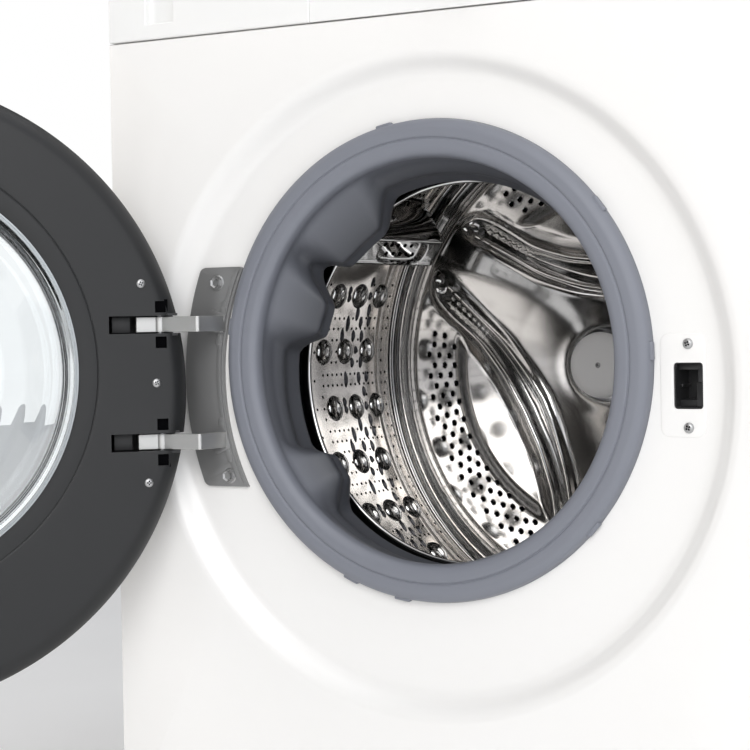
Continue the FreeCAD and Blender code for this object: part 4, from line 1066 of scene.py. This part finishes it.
def drum_back():
    """The pressed back of the drum."""
    radii = [30 + (214 - 30) * i / 92 for i in range(93)]
    radii += [p[0] for p in BACK_CURVE if p[0] > 214.5]
    third = slice_of([(r, 0) for r in radii], DRUM_Z, 120, 120)
    for v in third.verts:
        across = Vector((v.co.x, v.co.z - DRUM_Z))
        v.co.y = FRONT + back_depth(across.length, math.degrees(math.atan2(across.y, across.x)))
    bm = bmesh.new()
    repeat(bm, third, [round_line(120 * i, DRUM_Z) for i in range(3)])
    bmesh.ops.remove_doubles(bm, verts=bm.verts, dist=0.002)
    piece = mesh_object(bm, "drum_back_pressed", 60, recalc=False)
    dress(piece, "drum", FINISH["drum_turned"], "stainless", "drum_back")


def drum_wall():
    """The rolled wall with its embossed band, and the folded seam at its back."""
    wall = DRUM_R - 1
    bm = bmesh.new()
    lathe(bm, rounded([(wall, 109), (wall, 333.5), (wall - 2.2, 335.5), (wall - 2.2, 341.5), (wall, 343.5),
                       (wall, 354), (wall - 1.6, 355.2), (wall - 1.6, 357.6), (wall + 0.4, 358.2)], 1.4, 3),
          DRUM_Z, 240)
    piece = mesh_object(bm, "drum_wall", 50, recalc=False)
    dress(piece, "drum", FINISH["drum_sheet"], "stainless", "drum_cylinder")
    bm = bmesh.new()
    lathe(bm, [(wall + 0.4, 357), (wall + 0.4, 366)], DRUM_Z, 240)
    dress(mesh_object(bm, "seam_shadow"), "drum", FINISH["painted_shadow_black"], "stainless")
    bm = bmesh.new()
    lathe(bm, rounded([(wall + 0.4, 361.4), (wall - 1.8, 361.8), (wall - 1.8, 364), (wall - 1.0, 366),
                       (wall + 0.2, 371)], 0.8, 3), DRUM_Z, 240)
    dress(mesh_object(bm, "seam_fold", 50), "drum", FINISH["drum_polish"], "stainless")


def drum_mouth():
    """The rolled mouth and the sloping front wall."""
    bm = bmesh.new()
    roll = [(155.3 + 2.3 * math.cos(math.radians(a)), 79.3 + 2.3 * math.sin(math.radians(a)))
            for a in range(60, 280, 20)]
    wall = DRUM_R - 1
    lathe(bm, roll + rounded([(157.5, 77.4), (168, 83), (234, 89), (wall, 99), (wall, 110)], 4, 4), DRUM_Z)
    piece = mesh_object(bm, "drum_mouth", 60)
    thick = piece.modifiers.new("sheet", "SOLIDIFY")
    thick.thickness = 0.6 * MM
    settle(piece, 60)
    dress(piece, "drum", FINISH["drum_polish"], "stainless", "drum_front")


def on_wall(degrees, d, out=0.0):
    """The place on the drum's wall for a shape drawn about the origin with +Z inwards and +Y to the back."""
    return (Matrix.Translation((0, FRONT + d, DRUM_Z)) @ Matrix.Rotation(math.radians(-degrees), 4, "Y")
            @ Matrix.Translation((DRUM_R - 1 - out, 0, 0)) @ Matrix.Rotation(-math.pi / 2, 4, "Y"))


def columns():
    """Angle and kind of every row of bubbles: eight rows in each third, in two alternating kinds."""
    for arm in ARM_DEG:
        for i in range(8):
            yield arm + 60 + COLUMN * (i - 3.5), i % 2


def dome(width, length, height, u, v, taper=0.0):
    """The upper part of a ball, flattened, about the origin with +Z up; taper narrows its +Y end."""
    bm = bmesh.new()
    bmesh.ops.create_uvsphere(bm, u_segments=u, v_segments=v, radius=1)
    bmesh.ops.delete(bm, geom=[p for p in bm.verts if p.co.z < -0.35], context="VERTS")
    for p in bm.verts:
        p.co = Vector((p.co.x * width * (1 - taper * p.co.y), p.co.y * length, p.co.z * height))
    return bm


ARC = math.degrees(1 / (DRUM_R - 1))


def wall_bubbles():
    """Round domes pressed into the wall."""
    bm = bmesh.new()
    for kind, row in enumerate(((256, 294, 331), (242, 279, 319))):
        places = [on_wall(degrees, d, -0.8) for degrees, sort in columns() if sort == kind for d in row]
        repeat(bm, dome(12.5, 12.5, 6.5, 24, 12), places)
    dress(mesh_object(bm, "wall_bubbles", 60, recalc=False), "drum", FINISH["drum_polish"], "stainless")


DROPS = (
    ((-5, 275, 5.0), (2, 276, 4.4), (0, 313, 4.6), (-14, 312, 5.4), (17, 296, 8.0), (14, 316, 6.6)),
    ((-15, 273, 7.5), (-14.5, 293, 6.2), (-14, 308, 6.4), (-1, 299, 4.0), (11, 293, 5.0), (11, 308, 6.0)),
)
DROPS_BETWEEN = ((26.6, 281, 8.5), (25.6, 304, 5.8), (25.0, 318, 5.6))


def wall_drops():
    """Small pressed drops between the bubbles, coloured near black as a painted dark reflection; each is an
    arc from its column, a depth and a reach.
    """
    bm = bmesh.new()
    for kind, rows in enumerate(DROPS):
        for arc, d, reach in rows + DROPS_BETWEEN:
            places = [on_wall(degrees + arc * ARC, d, -0.35) for degrees, sort in columns() if sort == kind]
            repeat(bm, dome(reach, 3.7, 1.5, 14, 7, 0.25), places)
    dress(mesh_object(bm, "wall_drops", 60, recalc=False), "drum", FINISH["drops_painted_dark_reflection"], "stainless")


def peg(radius, height, sides):
    """A small closed disc about the origin."""
    bm = bmesh.new()
    bmesh.ops.create_cone(bm, cap_ends=True, segments=sides, radius1=radius, radius2=radius, depth=height)
    return bm


def wall_holes():
    """Rows of small drain holes in the wall, drawn as flat dark discs of painted shadow."""
    full = [(arc, 241 + 8 * k) for arc in (21.6, 31.6) for k in range(15)]
    full += [(arc, 122 + 8 * k) for arc in (0, 26.6) for k in range(14)]
    short = ((238, 316, 350), (256, 264, 302, 346))
    places = [on_wall(degrees + arc * ARC, d) for degrees, kind in columns()
              for arc, d in full + [(arc, d) for arc in (-11, 0, 10) for d in short[kind]]]
    bm = bmesh.new()
    repeat(bm, peg(1.35, 0.5, 8), places)
    dress(mesh_object(bm, "wall_holes", 40), "drum", FINISH["painted_shadow_black"], "stainless")


def back_hole_places():
    """Staggered rows of three in the curved field in each third of the back."""
    for row in range(-12, 13):
        offset = 3.05 * row
        reach = (164.2, 176.4, 188.6) if row % 2 else (170.3, 182.5, 194.7)
        for r in reach if abs(row) < 12 else (176.4, 188.6):
            degrees = ARM_DEG[0] + 60 + offset
            r += 7 * smooth(abs(offset), 22, 40) * (1 if offset > 0 else 0.4)
            slope = (back_depth(r + 2, degrees) - back_depth(r - 2, degrees)) / 4
            spot = Matrix.Translation((r, FRONT + back_depth(r, degrees), DRUM_Z))
            yield round_line(degrees, DRUM_Z) @ spot @ Matrix.Rotation(math.atan(slope), 4, "Z")


def back_holes():
    """Flared holes in the three curved fields of the back."""
    places = list(back_hole_places())
    places = [round_line(120 * i, DRUM_Z) @ place for i in range(3) for place in places]
    rim = bmesh.new()
    verts = [rim.verts.new((r, y, 0)) for r, y in ((3.5, 0.1), (3.0, -0.5), (2.5, -0.35), (2.3, 0.5))]
    edges = [rim.edges.new(pair) for pair in zip(verts, verts[1:])]
    bmesh.ops.spin(rim, geom=verts + edges, cent=(0, 0, 0), axis=(0, -1, 0), angle=math.tau, steps=14,
                   use_merge=True)
    rims = bmesh.new()
    repeat(rims, rim, places)
    dress(mesh_object(rims, "back_hole_rims", 60), "drum", FINISH["drum_polish"], "stainless")
    lie = Matrix.Translation((0, -0.12, 0)) @ Matrix.Rotation(math.pi / 2, 4, "X")
    shadows = bmesh.new()
    repeat(shadows, peg(2.7, 0.1, 12), [place @ lie for place in places])
    dress(mesh_object(shadows, "back_hole_shadows"), "drum", FINISH["painted_shadow_black"], "stainless")


def lifter_height(t, w):
    """Height of a lifter at t along it, 0 to 1, and w across it, -1 to 1."""
    ends = smooth(t, 0.0, 0.13) * (1 - smooth(t, 0.86, 1.0))
    flank = 1 - smooth(abs(w), 0.4, 1.0)
    step = 0.018 * math.sin(abs(w) * 22) * smooth(abs(w), 0.3, 0.4) * (1 - smooth(abs(w), 0.75, 0.85))
    oval = abs((t - 0.6) / 0.17) ** 5 + (w / 0.36) ** 4
    dent = 0.1 * (1 - smooth(oval, 0.5, 1.1))
    return 47 * ends * (flank + step - dent)


def lifters():
    """Three hollow paddles with rounded crests and an oval recess with small holes."""
    bm = bmesh.new()
    spots = []
    for arm in ARM_DEG:
        verts = bmesh.ops.create_grid(bm, x_segments=90, y_segments=64, size=1)["verts"]
        for v in verts:
            t = (v.co.x + 1) / 2
            w = v.co.y
            radius = DRUM_R - 0.8 - lifter_height(t, w)
            narrow = 1 - 0.12 * (lifter_height(t, w) / 47) ** 2
            swing_deg = math.degrees(36 * w * narrow / radius)
            spot = math.radians(arm + swing_deg)
            v.co = Vector((radius * math.cos(spot), FRONT + 118 + 236 * t, DRUM_Z + radius * math.sin(spot)))
        for i in range(5):
            for side in (-1, 1):
                t = 0.5 + 0.05 * i + 0.02 * side
                w = 0.14 * side
                height = lifter_height(t, w)
                spots.append(on_wall(arm + math.degrees(31.7 * w / (DRUM_R - height)), 118 + 236 * t, height))
    bmesh.ops.reverse_faces(bm, faces=bm.faces)
    # the small holes are flat dark discs of painted shadow
    holes = bmesh.new()
    repeat(holes, peg(2.0, 0.8, 10), spots)
    dress(mesh_object(bm, "lifter_paddles", 60, recalc=False), "drum", FINISH["drum_polish"], "stainless",
          "lifters")
    dress(mesh_object(holes, "lifter_holes"), "drum", FINISH["painted_shadow_black"], "stainless")


def hub_cap():
    bm = bmesh.new()
    lathe(bm, rounded([(0, 319.8), (12, 320), (24, 321.4), (29.4, 324.4), (30.6, 327.5)], 4, 4), DRUM_Z, 96)
    dress(mesh_object(bm, "hub_cover"), "drum", FINISH["hub"], "hub_grey", "hub_cap")
    cross_pan_heads("hub_screw", [(0, DRUM_Z, 320.1)], "drum", "screw_steel", radius=2.6, height=1.4)


# ---------------------------------------------------------------- the rest of the machine

COVERS = (
    ("left_side_panel", 1.2, "enamel", "cabinet", "cabinet_white"),
    ("right_side_panel", 1.2, "enamel", "cabinet", "cabinet_white"),
    ("rear_panel", 0.6, "zinc", "cabinet", "galvanised"),
    ("base_pan", 0.8, "filled_grey", "cabinet", "grey_plastic"),
    ("lid", 3.0, "white_moulding", "cabinet", "white_plastic"),
    ("control_panel", 1.6, "white_moulding", "cabinet", "white_plastic"),
    ("display_window", 0.8, "display", "cabinet", "display_black"),
    ("shipping_hole_caps", 0.8, "white_moulding", "cabinet", "white_plastic"),
    ("drawer_front", 1.4, "white_moulding", "drawer", "white_plastic"),
    ("program_knob", 1.6, "spun_silver", "knob", "knob_silver"),
    ("power_button", 0.8, "white_moulding", "power_button", "white_plastic"),
    ("start_button", 0.8, "white_moulding", "start_button", "white_plastic"),
    ("filter_flap", 0.8, "white_moulding", "filter_flap", "white_plastic"),
)
PAINTED = {
    "filled_grey": ("dispenser_housing", "drain_pump", "tub_rear"),
    "tub_shadow": ("tub_front",),
    "board": ("control_board",),
    "matt_black": ("inlet_valves", "door_lock", "filter_plug"),
    "hose": ("drain_hose",),
    "zinc": ("damper_cylinders", "rotor"),
    "screw": ("tub_bolts", "heater", "gasket_clamp"),
    "cast_iron": ("counterweight_upper", "counterweight_lower"),
    "winding": ("motor_stator",),
    "ground_steel": ("bearings", "damper_rods", "drum_shaft"),
    "cast_aluminium": ("spider", "door_hook"),
    "white_moulding": ("drawer_tray",),
    "foot": ("foot_1", "foot_2", "foot_3", "foot_4"),
}


STRETCHED = (
    ("springs", "screw", "screw_steel", (0, 0, 800), (0, 0, 670)),
    ("dispenser_hose", "hose", "hose_rubber", (0, 0, 716), (0, 0, 700)),
    ("sump_hose", "hose", "hose_rubber", (-130, 0, 0), (-40, 0, 0)),
)


def stretched(node, finish, slot, held, free):
    """A merged copy of a node that joins the cabinet to the tub, baked where it stands; the held and free
    points are not used.
    """
    piece = softened(node, 0, FINISH[finish], None, slot)
    Vector(held) * MM
    Vector(free) * MM
    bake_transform(piece)


def rest_of_machine():
    for node, finish, slot, held, free in STRETCHED:
        stretched(node, finish, slot, held, free)
    for node, width, finish, body, slot in COVERS:
        softened(node, width, FINISH[finish], body, slot)
    for finish, nodes in PAINTED.items():
        for node in nodes:
            paint(node, FINISH[finish])


camera()
studio()
floor()
front_panel()
lock_emboss()
lock_mouth()
lock_screws()
hinge_plate()
hinge_arms()
hinge_bolts()
gasket()
door_cover()
door_rim()
hinge_pockets()
door_pins()
door_screws()
door_glass()
drum_back()
drum_wall()
drum_mouth()
wall_bubbles()
wall_drops()
wall_holes()
back_holes()
lifters()
hub_cap()
rest_of_machine()
